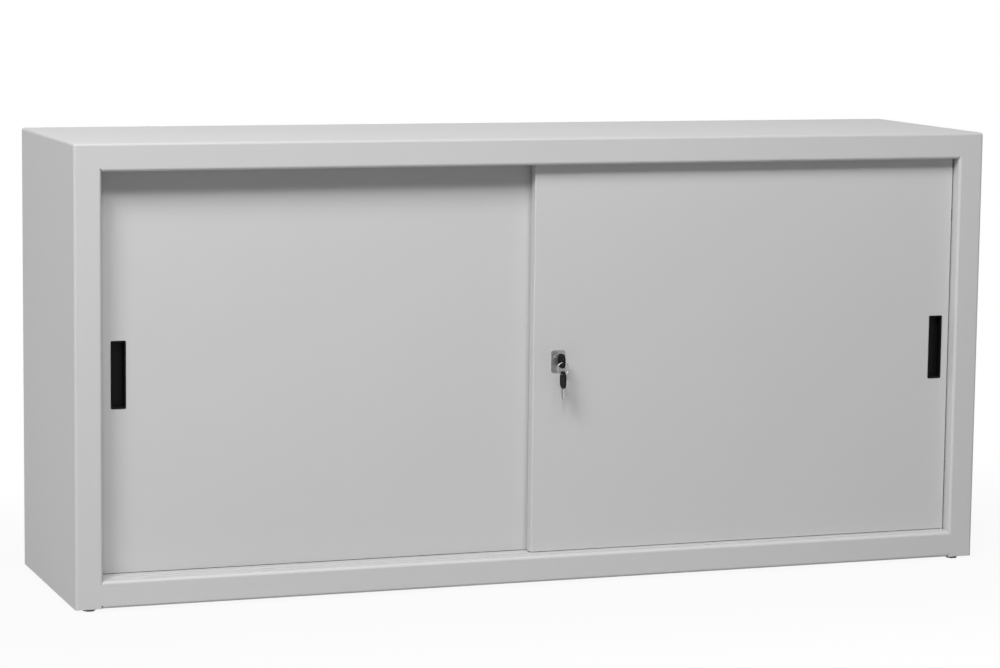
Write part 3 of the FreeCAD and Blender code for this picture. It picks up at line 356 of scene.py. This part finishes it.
def finish_of(slot):
    """The finish of one of the record's material slots, made when it is first asked for."""
    name = f"{slot}_finish"
    return bpy.data.materials.get(name) or FINISHES[slot](name)


# ---------------------------------------------------------------- shaping
SHARP_FROM = math.radians(32)
BEVEL_FROM = math.radians(40)
FLAT_WITHIN = math.radians(0.5)
SAME_POINT = 0.002 * MM


def evaluated(mesh, add_modifiers):
    """The mesh after the modifiers that add_modifiers puts on it, as a plain mesh."""
    holder = bpy.data.objects.new("holder", mesh)
    bpy.context.scene.collection.objects.link(holder)
    add_modifiers(holder)
    graph = bpy.context.evaluated_depsgraph_get()
    result = bpy.data.meshes.new_from_object(holder.evaluated_get(graph), depsgraph=graph)
    bpy.data.objects.remove(holder)
    return result


def even_shading(holder):
    """Let wide flat faces rule the shading of the narrow ones beside them."""
    normals = holder.modifiers.new("even shading", "WEIGHTED_NORMAL")
    normals.keep_sharp = True


def settle(name, mesh, body, slot):
    """Make a mesh into a finished piece that rides on a body and takes a slot's finish."""
    mesh.shade_smooth()
    mesh.set_sharp_from_angle(angle=SHARP_FROM)
    mesh = evaluated(mesh, even_shading)
    mesh.name = name
    mesh.materials.clear()
    mesh.materials.append(finish_of(slot))
    piece = bpy.data.objects.new(name, mesh)
    bpy.context.scene.collection.objects.link(piece)
    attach(piece, body)
    return piece


def merged(node):
    """A copy of a node's mesh with its loose triangles joined along their edges."""
    mesh = frame["nodes"][node].data.copy()
    if "custom_normal" in mesh.attributes:
        mesh.attributes.remove(mesh.attributes["custom_normal"])
    shape = bmesh.new()
    shape.from_mesh(mesh)
    bmesh.ops.remove_doubles(shape, verts=shape.verts, dist=SAME_POINT)
    shape.to_mesh(mesh)
    shape.free()
    return mesh


def whole_faces(mesh):
    """The same mesh with its flat triangles joined into whole faces, ready for a bevel."""
    shape = bmesh.new()
    shape.from_mesh(mesh)
    bmesh.ops.dissolve_limit(shape, angle_limit=FLAT_WITHIN, verts=shape.verts, edges=shape.edges)
    shape.to_mesh(mesh)
    shape.free()
    return mesh


def softened(mesh, width, steps=2):
    """The mesh with its sharp edges rounded by the given width."""
    def add_bevel(holder):
        bevel = holder.modifiers.new("soft edges", "BEVEL")
        bevel.width = width
        bevel.segments = steps
        bevel.limit_method = "ANGLE"
        bevel.angle_limit = BEVEL_FROM
        bevel.use_clamp_overlap = False
        bevel.loop_slide = False
        bevel.miter_outer = "MITER_ARC"
    return evaluated(mesh, add_bevel)


def carved(mesh, cutter):
    """The mesh with the cutter's volume taken away."""
    tool = bpy.data.objects.new("tool", cutter)
    bpy.context.scene.collection.objects.link(tool)

    def add_cut(holder):
        cut = holder.modifiers.new("cut", "BOOLEAN")
        cut.operation = "DIFFERENCE"
        cut.object = tool
        cut.solver = "EXACT"
    result = evaluated(mesh, add_cut)
    bpy.data.objects.remove(tool)
    return result


def dress(node, width=0.0, steps=2):
    """Put a finished copy of a node in its place, its edges rounded by width."""
    mesh = merged(node)
    if width:
        mesh = softened(whole_faces(mesh), width, steps)
    piece = settle(f"{node}_finished", mesh, BODY_OF[node], SLOT_OF[node])
    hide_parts(node)
    return piece


def mesh_of(shape):
    """A mesh from a bmesh, with its normals outwards."""
    bmesh.ops.recalc_face_normals(shape, faces=shape.faces)
    mesh = bpy.data.meshes.new("shape")
    shape.to_mesh(mesh)
    shape.free()
    return mesh


AXIS_TURN = {
    "X": Matrix.Rotation(math.pi / 2, 4, "Y"),
    "Y": Matrix.Rotation(-math.pi / 2, 4, "X"),
    "Z": Matrix.Identity(4),
}


def add_rings(shape, rings, closed):
    """Skin a row of rings of points. An open row is capped, a closed one ends where it began."""
    loops = [[shape.verts.new(point) for point in ring] for ring in rings]
    pairs = list(zip(loops, loops[1:]))
    if closed:
        pairs.append((loops[-1], loops[0]))
    else:
        shape.faces.new(loops[0][::-1])
        shape.faces.new(loops[-1])
    for lower, upper in pairs:
        for i in range(len(lower)):
            j = (i + 1) % len(lower)
            shape.faces.new((lower[i], lower[j], upper[j], upper[i]))


def lathe(shape, profile, centre, axis, closed=False, steps=48):
    """Turn a profile of (radius, distance along the axis) round a row axis through the centre."""
    place = Matrix.Translation(centre) @ AXIS_TURN[axis]
    turns = [2 * math.pi * i / steps for i in range(steps)]
    rings = [[place @ Vector((radius * math.cos(t), radius * math.sin(t), along)) for t in turns]
             for radius, along in profile]
    add_rings(shape, rings, closed)


def add_box(shape, low, high):
    """A block between two corners."""
    size = Vector(high) - Vector(low)
    middle = (Vector(high) + Vector(low)) / 2
    bmesh.ops.create_cube(shape, size=1.0,
                          matrix=Matrix.Translation(middle) @ Matrix.Diagonal((*size, 1.0)))


# ---------------------------------------------------------------- repeats made by Geometry Nodes
def new_tree(name, inputs):
    """A node tree with named inputs, and its two ends."""
    tree = bpy.data.node_groups.new(name, "GeometryNodeTree")
    for label, kind in inputs.items():
        tree.interface.new_socket(label, in_out="INPUT", socket_type=f"NodeSocket{kind}")
    tree.interface.new_socket("Geometry", in_out="OUTPUT", socket_type="NodeSocketGeometry")
    start = tree.nodes.new("NodeGroupInput")
    end = tree.nodes.new("NodeGroupOutput")
    return tree, start, end


def close_tree(tree, start, end, geometry):
    """End a tree in real geometry with the finish that its Finish input names."""
    realize = tree.nodes.new("GeometryNodeRealizeInstances")
    paint = tree.nodes.new("GeometryNodeSetMaterial")
    tree.links.new(geometry, realize.inputs["Geometry"])
    tree.links.new(realize.outputs["Geometry"], paint.inputs["Geometry"])
    tree.links.new(start.outputs["Finish"], paint.inputs["Material"])
    tree.links.new(paint.outputs["Geometry"], end.inputs["Geometry"])


def row_tree():
    """A straight row of copies of one mark."""
    tree, start, end = new_tree("row_of_marks", {
        "Mark": "Object", "Start": "Vector", "Step": "Vector", "Count": "Int", "Turn": "Vector",
        "Finish": "Material"})
    line = tree.nodes.new("GeometryNodeMeshLine")
    line.mode = "OFFSET"
    mark = tree.nodes.new("GeometryNodeObjectInfo")
    copies = tree.nodes.new("GeometryNodeInstanceOnPoints")
    for label, socket in (("Start", line.inputs["Start Location"]), ("Step", line.inputs["Offset"]),
                          ("Count", line.inputs["Count"]), ("Mark", mark.inputs["Object"]),
                          ("Turn", copies.inputs["Rotation"])):
        tree.links.new(start.outputs[label], socket)
    tree.links.new(line.outputs["Mesh"], copies.inputs["Points"])
    tree.links.new(mark.outputs["Geometry"], copies.inputs["Instance"])
    close_tree(tree, start, end, copies.outputs["Instances"])
    return tree


def coil_tree():
    """A wire wound round a core of its own, both standing on a point and turned from +Z."""
    tree, start, end = new_tree("wound_wire", {
        "Radius": "Float", "Wire": "Float", "Wire sides": "Int", "Turns": "Float",
        "Height": "Float", "Core": "Float", "Place": "Vector", "Turn": "Vector",
        "Finish": "Material"})
    spiral = tree.nodes.new("GeometryNodeCurveSpiral")
    spiral.inputs["Resolution"].default_value = 32
    section = tree.nodes.new("GeometryNodeCurvePrimitiveCircle")
    wire = tree.nodes.new("GeometryNodeCurveToMesh")
    wire.inputs["Fill Caps"].default_value = True
    core = tree.nodes.new("GeometryNodeCurvePrimitiveCircle")
    core.inputs["Resolution"].default_value = 32
    post = tree.nodes.new("GeometryNodeCurvePrimitiveLine")
    tip = tree.nodes.new("ShaderNodeCombineXYZ")
    shank = tree.nodes.new("GeometryNodeCurveToMesh")
    shank.inputs["Fill Caps"].default_value = True
    both = tree.nodes.new("GeometryNodeJoinGeometry")
    move = tree.nodes.new("GeometryNodeTransform")
    for label, socket in (("Radius", spiral.inputs["Start Radius"]),
                          ("Radius", spiral.inputs["End Radius"]),
                          ("Turns", spiral.inputs["Rotations"]),
                          ("Height", spiral.inputs["Height"]),
                          ("Wire", section.inputs["Radius"]),
                          ("Wire sides", section.inputs["Resolution"]),
                          ("Core", core.inputs["Radius"]), ("Height", tip.inputs["Z"]),
                          ("Place", move.inputs["Translation"]), ("Turn", move.inputs["Rotation"])):
        tree.links.new(start.outputs[label], socket)
    tree.links.new(spiral.outputs["Curve"], wire.inputs["Curve"])
    tree.links.new(section.outputs["Curve"], wire.inputs["Profile Curve"])
    tree.links.new(tip.outputs["Vector"], post.inputs["End"])
    tree.links.new(post.outputs["Curve"], shank.inputs["Curve"])
    tree.links.new(core.outputs["Curve"], shank.inputs["Profile Curve"])
    tree.links.new(wire.outputs["Mesh"], both.inputs["Geometry"])
    tree.links.new(shank.outputs["Mesh"], both.inputs["Geometry"])
    tree.links.new(both.outputs["Geometry"], move.inputs["Geometry"])
    close_tree(tree, start, end, move.outputs["Geometry"])
    return tree


def grown(maker, **values):
    """The plain mesh that a tree makes from the given inputs."""
    tree = bpy.data.node_groups.get(maker.__name__) or maker()
    tree.name = maker.__name__

    def add_nodes(holder):
        modifier = holder.modifiers.new("nodes", "NODES")
        modifier.node_group = tree
        for socket in tree.interface.items_tree:
            if socket.in_out == "INPUT":
                modifier[socket.identifier] = values[socket.name.lower().replace(" ", "_")]
    return evaluated(bpy.data.meshes.new("seed"), add_nodes)


def joined(meshes):
    """One mesh of several."""
    shape = bmesh.new()
    for mesh in meshes:
        shape.from_mesh(mesh)
    whole = bpy.data.meshes.new("whole")
    shape.to_mesh(whole)
    shape.free()
    return whole


def marked_rows(name, mark, rows, body, slot):
    """Rows of one mark on one body: each row is (start, step, count, turn)."""
    sample = bpy.data.objects.new("mark", mark)
    meshes = [grown(row_tree, mark=sample, start=start, step=step, count=count, turn=turn,
                    finish=finish_of(slot)) for start, step, count, turn in rows]
    bpy.data.objects.remove(sample)
    return settle(name, joined(meshes), body, slot)


# ---------------------------------------------------------------- carcass, doors and shelving
CARCASS_SHEETS = ("left_side_panel", "right_side_panel", "top_panel", "bottom_panel", "back_panel",
                  "centre_divider", "foot_plates")
UPRIGHTS = ("left_wall_uprights", "divider_left_uprights", "divider_right_uprights",
            "right_wall_uprights")
SHELVES = ("left_shelf", "right_shelf", "left_shelf_clips", "right_shelf_clips")


class CABINET_OT_carcass(bpy.types.Operator):
    """Dress the folded sheets of the carcass"""
    bl_idname = "cabinet.carcass"
    bl_label = "Carcass"

    def execute(self, context):
        for node in CARCASS_SHEETS:
            dress(node, context.scene.cabinet_fitting.sheet_edge)
        return {"FINISHED"}


class CABINET_OT_shelving(bpy.types.Operator):
    """Dress the slotted uprights, shelves and clips"""
    bl_idname = "cabinet.shelving"
    bl_label = "Shelving"

    def execute(self, context):
        for node in UPRIGHTS:
            dress(node)
        for node in SHELVES:
            dress(node, context.scene.cabinet_fitting.sheet_edge)
        return {"FINISHED"}


class CABINET_OT_doors(bpy.types.Operator):
    """Dress the pressed doors, their stiffeners and finger pulls"""
    bl_idname = "cabinet.doors"
    bl_label = "Doors"

    def execute(self, context):
        fitting = context.scene.cabinet_fitting
        for side in SIDES:
            dress(f"{side}_door_panel", fitting.sheet_edge)
            dress(f"{side}_door_stiffener", fitting.sheet_edge)
            dress(f"{side}_door_pull", fitting.soft_edge, steps=3)
        return {"FINISHED"}


# ---------------------------------------------------------------- running gear
BEARING_BORE = 1.06  # of the axle's radius
BEARING_PROUD = 0.4 * MM  # how far a bearing stands out of its roller


def bearing(name, roller):
    """A shielded ball bearing in the middle of a roller: two rings with the balls between."""
    fitting = bpy.context.scene.cabinet_fitting
    low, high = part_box(roller)
    centre = (low + high) / 2
    axle_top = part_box(f"{roller.split('_')[0]}_door_axles")[1].z
    inner = (axle_top - centre.z) * BEARING_BORE
    outer = fitting.bearing_radius
    half = (high.y - low.y) / 2 + BEARING_PROUD
    race = (outer - inner) / 4
    shape = bmesh.new()
    for near, far in ((inner, inner + race), (outer - race, outer)):
        section = [(near, -half), (far, -half), (far, half), (near, half)]
        lathe(shape, section, centre, "Y", closed=True)
    middle = (inner + outer) / 2
    for depth in (race - half, half - race):
        for i in range(fitting.ball_count):
            turn = 2 * math.pi * i / fitting.ball_count
            spot = centre + Vector((middle * math.cos(turn), depth, middle * math.sin(turn)))
            bmesh.ops.create_icosphere(shape, subdivisions=2, radius=race,
                                       matrix=Matrix.Translation(spot))
    return settle(name, mesh_of(shape), BODY_OF[roller], "axle_steel")


class CABINET_OT_running_gear(bpy.types.Operator):
    """Dress the rail, track, rollers, axles, brackets, guides and buffers"""
    bl_idname = "cabinet.running_gear"
    bl_label = "Running gear"

    def execute(self, context):
        fitting = context.scene.cabinet_fitting
        dress("bottom_rail", fitting.sheet_edge)
        dress("top_guide_track", fitting.sheet_edge)
        dress("door_buffers", fitting.soft_edge)
        for side in SIDES:
            dress(f"{side}_door_roller_brackets", fitting.sheet_edge)
            dress(f"{side}_door_axles")
            dress(f"{side}_door_guides", fitting.soft_edge)
            for name in "ab":
                roller = f"{side}_door_roller_{name}"
                dress(roller, fitting.soft_edge, steps=3)
                bearing(f"{side}_door_bearing_{name}", roller)
        return {"FINISHED"}


# ---------------------------------------------------------------- lock and keys
HEAD_CORNER = 10 * MM
RING_HOLE_RADIUS = 2.5 * MM


class CABINET_OT_lock(bpy.types.Operator):
    """Dress the lock's plate, case, plug and bolt"""
    bl_idname = "cabinet.lock"
    bl_label = "Lock"

    def execute(self, context):
        fitting = context.scene.cabinet_fitting
        for node in ("lock_escutcheon", "lock_housing", "lock_plug", "lock_bolt"):
            dress(node, fitting.plate_edge, steps=3)
        return {"FINISHED"}


def rounded_outline(low, high, radius, inset, steps=8):
    """Points of a rectangle with round corners, drawn in by the inset."""
    (y0, z0), (y1, z1) = low, high
    points = []
    reach = radius - inset
    for (y, z), first in (((y1, z1), 0), ((y0, z1), 1), ((y0, z0), 2), ((y1, z0), 3)):
        middle_y = y + math.copysign(radius, (y0 + y1) / 2 - y)
        middle_z = z + math.copysign(radius, (z0 + z1) / 2 - z)
        for i in range(steps + 1):
            turn = math.pi / 2 * (first + i / steps)
            points.append((middle_y + reach * math.cos(turn), middle_z + reach * math.sin(turn)))
    return points


def key_head(node, hole_y, hole_z):
    """A moulded key head with a soft rim round a shallow recess, pierced for the ring."""
    fitting = bpy.context.scene.cabinet_fitting
    low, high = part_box(node)
    middle, half = (low.x + high.x) / 2, (high.x - low.x) / 2
    soft, rim, floor = fitting.soft_edge, fitting.bow_rim, half - fitting.bow_recess
    face = [(0.0, half - soft), (0.3 * soft, half - 0.3 * soft), (soft, half),
            (rim, half), (rim + 0.4 * soft, half - 0.3 * soft), (rim + 0.6 * soft, floor)]
    steps = [(inset, -x) for inset, x in face[::-1]] + face
    shape = bmesh.new()
    rings = [[(middle + x, y, z) for y, z in
              rounded_outline((low.y, low.z), (high.y, high.z), HEAD_CORNER, inset)]
             for inset, x in steps]
    add_rings(shape, rings, closed=False)
    cutter = bmesh.new()
    lathe(cutter, [(RING_HOLE_RADIUS, -2 * half), (RING_HOLE_RADIUS, 2 * half)],
          (middle, hole_y, hole_z), "X")
    mesh = carved(mesh_of(shape), mesh_of(cutter))
    piece = settle(f"{node}_finished", mesh, BODY_OF[node], SLOT_OF[node])
    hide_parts(node)


def key_blade(node, across, along):
    """A blade with a groove down each side. Across and along are axes: 1 is Y and 2 is Z."""
    fitting = bpy.context.scene.cabinet_fitting
    low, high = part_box(node)
    middle = (low + high) / 2
    cutter = bmesh.new()
    for side in (low.x, high.x):
        near, far = low.copy(), high.copy()
        near.x, far.x = side - fitting.groove_depth, side + fitting.groove_depth
        near[across] = middle[across] - fitting.groove_width / 2
        far[across] = middle[across] + fitting.groove_width / 2
        near[along] -= MM
        far[along] += MM
        add_box(cutter, near, far)
    mesh = carved(merged(node), mesh_of(cutter))
    piece = settle(f"{node}_finished", mesh, BODY_OF[node], SLOT_OF[node])
    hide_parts(node)


class CABINET_OT_keys(bpy.types.Operator):
    """Make the key in the lock, the spare key and their split ring"""
    bl_idname = "cabinet.keys"
    bl_label = "Keys"

    def execute(self, context):
        fitting = context.scene.cabinet_fitting
        joints = {joint["name"]: joint for joint in frame["joints"]}
        ring_low, ring_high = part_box("key_ring")
        ring_middle = (ring_low + ring_high) / 2
        hole_inset = ring_middle.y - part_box("key_bow")[0].y
        key_head("key_bow", ring_middle.y, joints["lock_turn"]["pos_m"][2])
        key_head("spare_key_bow", ring_middle.y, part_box("spare_key_bow")[1].z - hole_inset)
        key_blade("key_blade", across=2, along=1)
        key_blade("spare_key_blade", across=1, along=2)
        wire = fitting.ring_wire
        half_height = wire * fitting.ring_turns
        ring = grown(coil_tree, radius=(ring_high.x - ring_low.x) / 2 - wire, wire=wire,
                     wire_sides=12, turns=fitting.ring_turns, height=2 * half_height,
                     core=0.0, turn=(math.pi / 2, 0, 0),
                     place=(ring_middle.x, ring_middle.y + half_height, ring_middle.z),
                     finish=finish_of("key_steel"))
        piece = settle("key_ring_finished", ring, "key_ring", "key_steel")
        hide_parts("key_ring")
        return {"FINISHED"}


# ---------------------------------------------------------------- feet and fixings
PITCH = 100 * MM
LET_IN = 0.4 * MM  # how far a head is let into what carries it
POLE = 0.02  # of the radius: the small flat that closes a head's middle
TO_BACK, UPRIGHT = (-math.pi / 2, 0, 0), (0, 0, 0)
FLANGE_MIDDLE = 8 * MM  # from the cabinet's side to the middle of its rear flange
SEAM_MIDDLE = 9 * MM  # from the top down to the middle of its rear flange
FIRST_WELD, FIRST_RIVET, SKIRT_LEVEL = 60 * MM, 90 * MM, 38 * MM
DIVIDER_FLANGE = 8 * MM
RAIL_SHEET = 1 * MM
NUT_PLAY = 0.05 * MM


class CABINET_OT_feet(bpy.types.Operator):
    """Make the levelling feet with their threads"""
    bl_idname = "cabinet.feet"
    bl_label = "Levelling feet"

    def execute(self, context):
        fitting = context.scene.cabinet_fitting
        for corner in CORNERS:
            dress(f"{corner}_foot_pad", fitting.soft_edge)
            node = f"{corner}_foot_stud"
            low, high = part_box(node)
            core = (high.x - low.x) / 2 - fitting.thread_depth
            height = high.z - low.z
            stud = grown(coil_tree, radius=core, wire=fitting.thread_depth, wire_sides=4,
                         turns=height / fitting.thread_pitch, height=height, core=core,
                         place=((low.x + high.x) / 2, (low.y + high.y) / 2, low.z), turn=(0, 0, 0),
                         finish=finish_of("axle_steel"))
            piece = settle(f"{node}_finished", stud, BODY_OF[node], SLOT_OF[node])
            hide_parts(node)
        return {"FINISHED"}


def domed(radius, rise):
    """A round head that stands proud along +Z."""
    shape = bmesh.new()
    turns = [math.pi / 2 * i / 6 for i in range(6)]
    arc = [(radius * math.cos(t), rise * math.sin(t)) for t in turns]
    profile = [(radius, -LET_IN), *arc, (POLE * radius, rise)]
    lathe(shape, profile, (0, 0, 0), "Z", steps=20)
    return mesh_of(shape)


def dimpled(radius, rise):
    """A spot weld: a shallow dish inside a low lip."""
    shape = bmesh.new()
    profile = [(radius, -LET_IN), (radius, 0.0), (0.86 * radius, rise), (0.70 * radius, rise),
               (0.55 * radius, 0.3 * rise), (POLE * radius, 0.2 * rise)]
    lathe(shape, profile, (0, 0, 0), "Z", steps=20)
    return mesh_of(shape)


def cross_head(radius, rise):
    """A pan head with a cross recess."""
    head = domed(radius, rise)
    long, short, floor = 0.62 * radius, 0.14 * radius, 0.35 * rise
    for x, y in ((long, short), (short, long)):
        slot = bmesh.new()
        add_box(slot, (-x, -y, floor), (x, y, 2 * rise))
        head = carved(head, mesh_of(slot))
    return head


def weld_nut(width, height, bore):
    """A hexagonal nut standing on the origin."""
    shape = bmesh.new()
    corner = width / math.sqrt(3)
    turns = [math.pi / 3 * i for i in range(6)]
    rings = [[(r * math.cos(t), r * math.sin(t), z) for t in turns]
             for r, z in ((corner, 0.0), (corner, 0.9 * height), (0.92 * corner, height))]
    add_rings(shape, rings, closed=False)
    cutter = bmesh.new()
    lathe(cutter, [(bore, -height), (bore, 2 * height)], (0, 0, 0), "Z", steps=32)
    return carved(mesh_of(shape), mesh_of(cutter))


class CABINET_OT_fixings(bpy.types.Operator):
    """Make the spot welds, rivets, rail screws and weld nuts"""
    bl_idname = "cabinet.fixings"
    bl_label = "Fixings"

    def execute(self, context):
        fitting = context.scene.cabinet_fitting
        side_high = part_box("right_side_panel")[1]
        back_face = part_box("back_panel")[1].y
        flange = side_high.x - FLANGE_MIDDLE
        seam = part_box("top_panel")[1].z - SEAM_MIDDLE
        welds = [((x, side_high.y, FIRST_WELD), (0, 0, PITCH), 7, TO_BACK)
                 for x in (-flange, flange)]
        welds.append(((-7.5 * PITCH, side_high.y, seam), (PITCH, 0, 0), 16, TO_BACK))
        marked_rows("spot_welds", dimpled(fitting.weld_radius, fitting.weld_rise), welds,
                    "carcass", "grey_paint")
        rivets = [((-7.2 * PITCH, back_face, SKIRT_LEVEL), (1.2 * PITCH, 0, 0), 13, TO_BACK),
                  ((DIVIDER_FLANGE, back_face, FIRST_RIVET), (0, 0, 1.1 * PITCH), 6, TO_BACK)]
        marked_rows("back_rivets", domed(fitting.rivet_radius, fitting.rivet_rise), rivets,
                    "carcass", "zinc_plate")
        rail_low, rail_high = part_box("bottom_rail")
        rail_start = (-7 * PITCH, (rail_low.y + rail_high.y) / 2, rail_low.z + RAIL_SHEET)
        screws = [(rail_start, (2.8 * PITCH, 0, 0), 6, UPRIGHT)]
        marked_rows("rail_screws", cross_head(fitting.screw_radius, fitting.screw_rise), screws,
                    "carcass", "zinc_plate")
        nuts = []
        plate_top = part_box("foot_plates")[1].z
        for corner in ("front_left", "rear_left"):
            low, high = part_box(f"{corner}_foot_stud")
            x, y = (low.x + high.x) / 2, (low.y + high.y) / 2
            nuts.append(((x, y, plate_top), (-2 * x, 0, 0), 2, UPRIGHT))
        nut = weld_nut(fitting.nut_width, fitting.nut_height, (high.x - low.x) / 2 + NUT_PLAY)
        marked_rows("weld_nuts", nut, nuts, "carcass", "zinc_plate")
        return {"FINISHED"}


# ---------------------------------------------------------------- stage
FRONT, LEFT_SIDE, BACK = (0.0, -0.1, 0.4), (-0.8, 0.0, 0.5), (0.0, 0.2, 0.36)
LAMPS = (  # place, aim, size and power setting of each lamp
    ("left_lamp", (-3.2, -3.0, 4.5), FRONT, 1.8, "left_power"),
    ("middle_lamp", (0.0, -3.0, 4.5), FRONT, 1.8, "middle_power"),
    ("key_lamp", (-1.6, -3.6, 3.9), FRONT, 0.8, "key_power"),
    ("side_lamp", (-2.4, 0.2, 1.1), LEFT_SIDE, 0.6, "side_power"),
    ("rear_lamp", (3.0, 3.4, 0.36), BACK, 0.7, "rear_power"),
)


def calculate(tree, operation, first, second):
    """A math node. The second term is another node's result or a number."""
    step = tree.nodes.new("ShaderNodeMath")
    step.operation = operation
    tree.links.new(first, step.inputs[0])
    if isinstance(second, float):
        step.inputs[1].default_value = second
    else:
        tree.links.new(second, step.inputs[1])
    return step.outputs[0]


def in_sight(tree):
    """1 for what the camera, metal and glass see, and 0 for what lights the scene."""
    rays = tree.nodes.new("ShaderNodeLightPath").outputs
    either = calculate(tree, "MAXIMUM", rays["Is Camera Ray"], rays["Is Glossy Ray"])
    return calculate(tree, "MAXIMUM", either, rays["Is Transmission Ray"])


def shown(tree, plain, seen, fac):
    """Mix the plain shader with the one that is seen."""
    mix = tree.nodes.new("ShaderNodeMixShader")
    tree.links.new(fac, mix.inputs["Fac"])
    tree.links.new(plain.outputs[0], mix.inputs[1])
    tree.links.new(seen.outputs[0], mix.inputs[2])
    return mix.outputs[0]


def white_world(ambient):
    """Even light from all round, which the camera sees as plain white."""
    world = bpy.data.worlds.new("studio")
    world.use_nodes = True
    tree = world.node_tree
    even = tree.nodes["Background"]
    even.inputs["Strength"].default_value = ambient
    even.inputs["Color"].default_value = WHITE
    white = tree.nodes.new("ShaderNodeBackground")
    white.inputs["Color"].default_value = WHITE
    surface = shown(tree, even, white, in_sight(tree))
    tree.links.new(surface, tree.nodes["World Output"].inputs["Surface"])
    bpy.context.scene.world = world


def whiteness(tree, stage):
    """Share of plain white in the floor: it grows to 1 with the distance from the cabinet."""
    place = tree.nodes.new("ShaderNodeTexCoord")
    result = place.outputs["Object"]
    corner = Vector((cad_box[1].x, cad_box[1].y, 0.0))
    for operation, other in (("ABSOLUTE", None), ("SUBTRACT", corner), ("MAXIMUM", Vector()),
                             ("LENGTH", None)):
        step = tree.nodes.new("ShaderNodeVectorMath")
        step.operation = operation
        tree.links.new(result, step.inputs[0])
        if other is not None:
            step.inputs[1].default_value = other
        result = step.outputs["Value" if operation == "LENGTH" else "Vector"]
    fade = tree.nodes.new("ShaderNodeMapRange")
    fade.interpolation_type = "SMOOTHSTEP"
    fade.inputs["From Max"].default_value = stage.floor_fade
    fade.inputs["To Min"].default_value = stage.floor_glow
    tree.links.new(result, fade.inputs["Value"])
    return fade.outputs["Result"]


def pale_floor(stage):
    """A wide floor that keeps the cabinet's shadow under a share of plain white."""
    finish = bpy.data.materials.new("pale_floor")
    finish.use_nodes = True
    tree = finish.node_tree
    tree.nodes.remove(tree.nodes["Principled BSDF"])
    matt = tree.nodes.new("ShaderNodeBsdfDiffuse")
    matt.inputs["Color"].default_value = (*stage.floor_tint, 1.0)
    white = tree.nodes.new("ShaderNodeEmission")
    fac = calculate(tree, "MULTIPLY", in_sight(tree), whiteness(tree, stage))
    tree.links.new(shown(tree, matt, white, fac), tree.nodes["Material Output"].inputs["Surface"])
    shape = bmesh.new()
    bmesh.ops.create_grid(shape, x_segments=1, y_segments=1, size=stage.floor_reach)
    mesh = mesh_of(shape)
    mesh.materials.append(finish)
    floor = bpy.data.objects.new("floor", mesh)
    bpy.context.scene.collection.objects.link(floor)


def lamp(name, place, aim, size, power):
    """A soft square lamp that shines from its place to its aim, and isn't seen itself."""
    light = bpy.data.lights.new(name, "AREA")
    light.size = size
    light.energy = power
    holder = bpy.data.objects.new(name, light)
    holder.location = place
    holder.rotation_euler = (Vector(aim) - Vector(place)).to_track_quat("-Z", "Y").to_euler()
    holder.visible_camera = False
    bpy.context.scene.collection.objects.link(holder)


def camera_view(stage):
    """The camera at its place, turned, dipped and leant."""
    sin_turn, cos_turn = math.sin(stage.camera_turn), math.cos(stage.camera_turn)
    sin_dip, cos_dip = math.sin(stage.camera_dip), math.cos(stage.camera_dip)
    ahead = Vector((sin_turn * cos_dip, cos_turn * cos_dip, -sin_dip))
    level = Vector((cos_turn, -sin_turn, 0.0))
    above = level.cross(ahead)
    sin_roll, cos_roll = math.sin(stage.camera_roll), math.cos(stage.camera_roll)
    right = cos_roll * level + sin_roll * above
    up = cos_roll * above - sin_roll * level
    lens = bpy.data.cameras.new("camera")
    lens.lens = stage.camera_lens
    lens.clip_end = 100.0
    camera = bpy.data.objects.new("camera", lens)
    turned = Matrix((right, up, -ahead)).transposed().to_4x4()
    camera.matrix_world = Matrix.Translation(stage.camera_place) @ turned
    bpy.context.scene.collection.objects.link(camera)
    bpy.context.scene.camera = camera


class CABINET_OT_stage(bpy.types.Operator):
    """Set the floor, world, lamps and camera"""
    bl_idname = "cabinet.stage"
    bl_label = "Stage"

    def execute(self, context):
        stage = context.scene.cabinet_stage
        context.scene.view_settings.view_transform = "Standard"
        white_world(stage.ambient)
        pale_floor(stage)
        for name, place, aim, size, power in LAMPS:
            lamp(name, place, aim, size, getattr(stage, power))
        camera_view(stage)
        return {"FINISHED"}


# ---------------------------------------------------------------- panel and registration
STEPS = (CABINET_OT_stage, CABINET_OT_carcass, CABINET_OT_shelving, CABINET_OT_doors,
         CABINET_OT_running_gear, CABINET_OT_lock, CABINET_OT_keys, CABINET_OT_feet,
         CABINET_OT_fixings)


class CABINET_PT_steps(bpy.types.Panel):
    """The cabinet's steps, in the order they are made"""
    bl_idname = "CABINET_PT_steps"
    bl_label = "Sliding door cabinet"
    bl_space_type = "VIEW_3D"
    bl_region_type = "UI"
    bl_category = "Cabinet"

    def draw(self, context):
        for step in STEPS:
            self.layout.operator(step.bl_idname)


CLASSES = (*SETTINGS.values(), *STEPS, CABINET_PT_steps)


def register():
    for made in CLASSES:
        bpy.utils.register_class(made)
    for name, group in SETTINGS.items():
        setattr(bpy.types.Scene, name, PointerProperty(type=group))


def unregister():
    for name in SETTINGS:
        delattr(bpy.types.Scene, name)
    for made in reversed(CLASSES):
        bpy.utils.unregister_class(made)


def main():
    register()
    for step in STEPS:
        getattr(bpy.ops.cabinet, step.bl_idname.split(".")[1])()


if __name__ == "__main__":
    main()
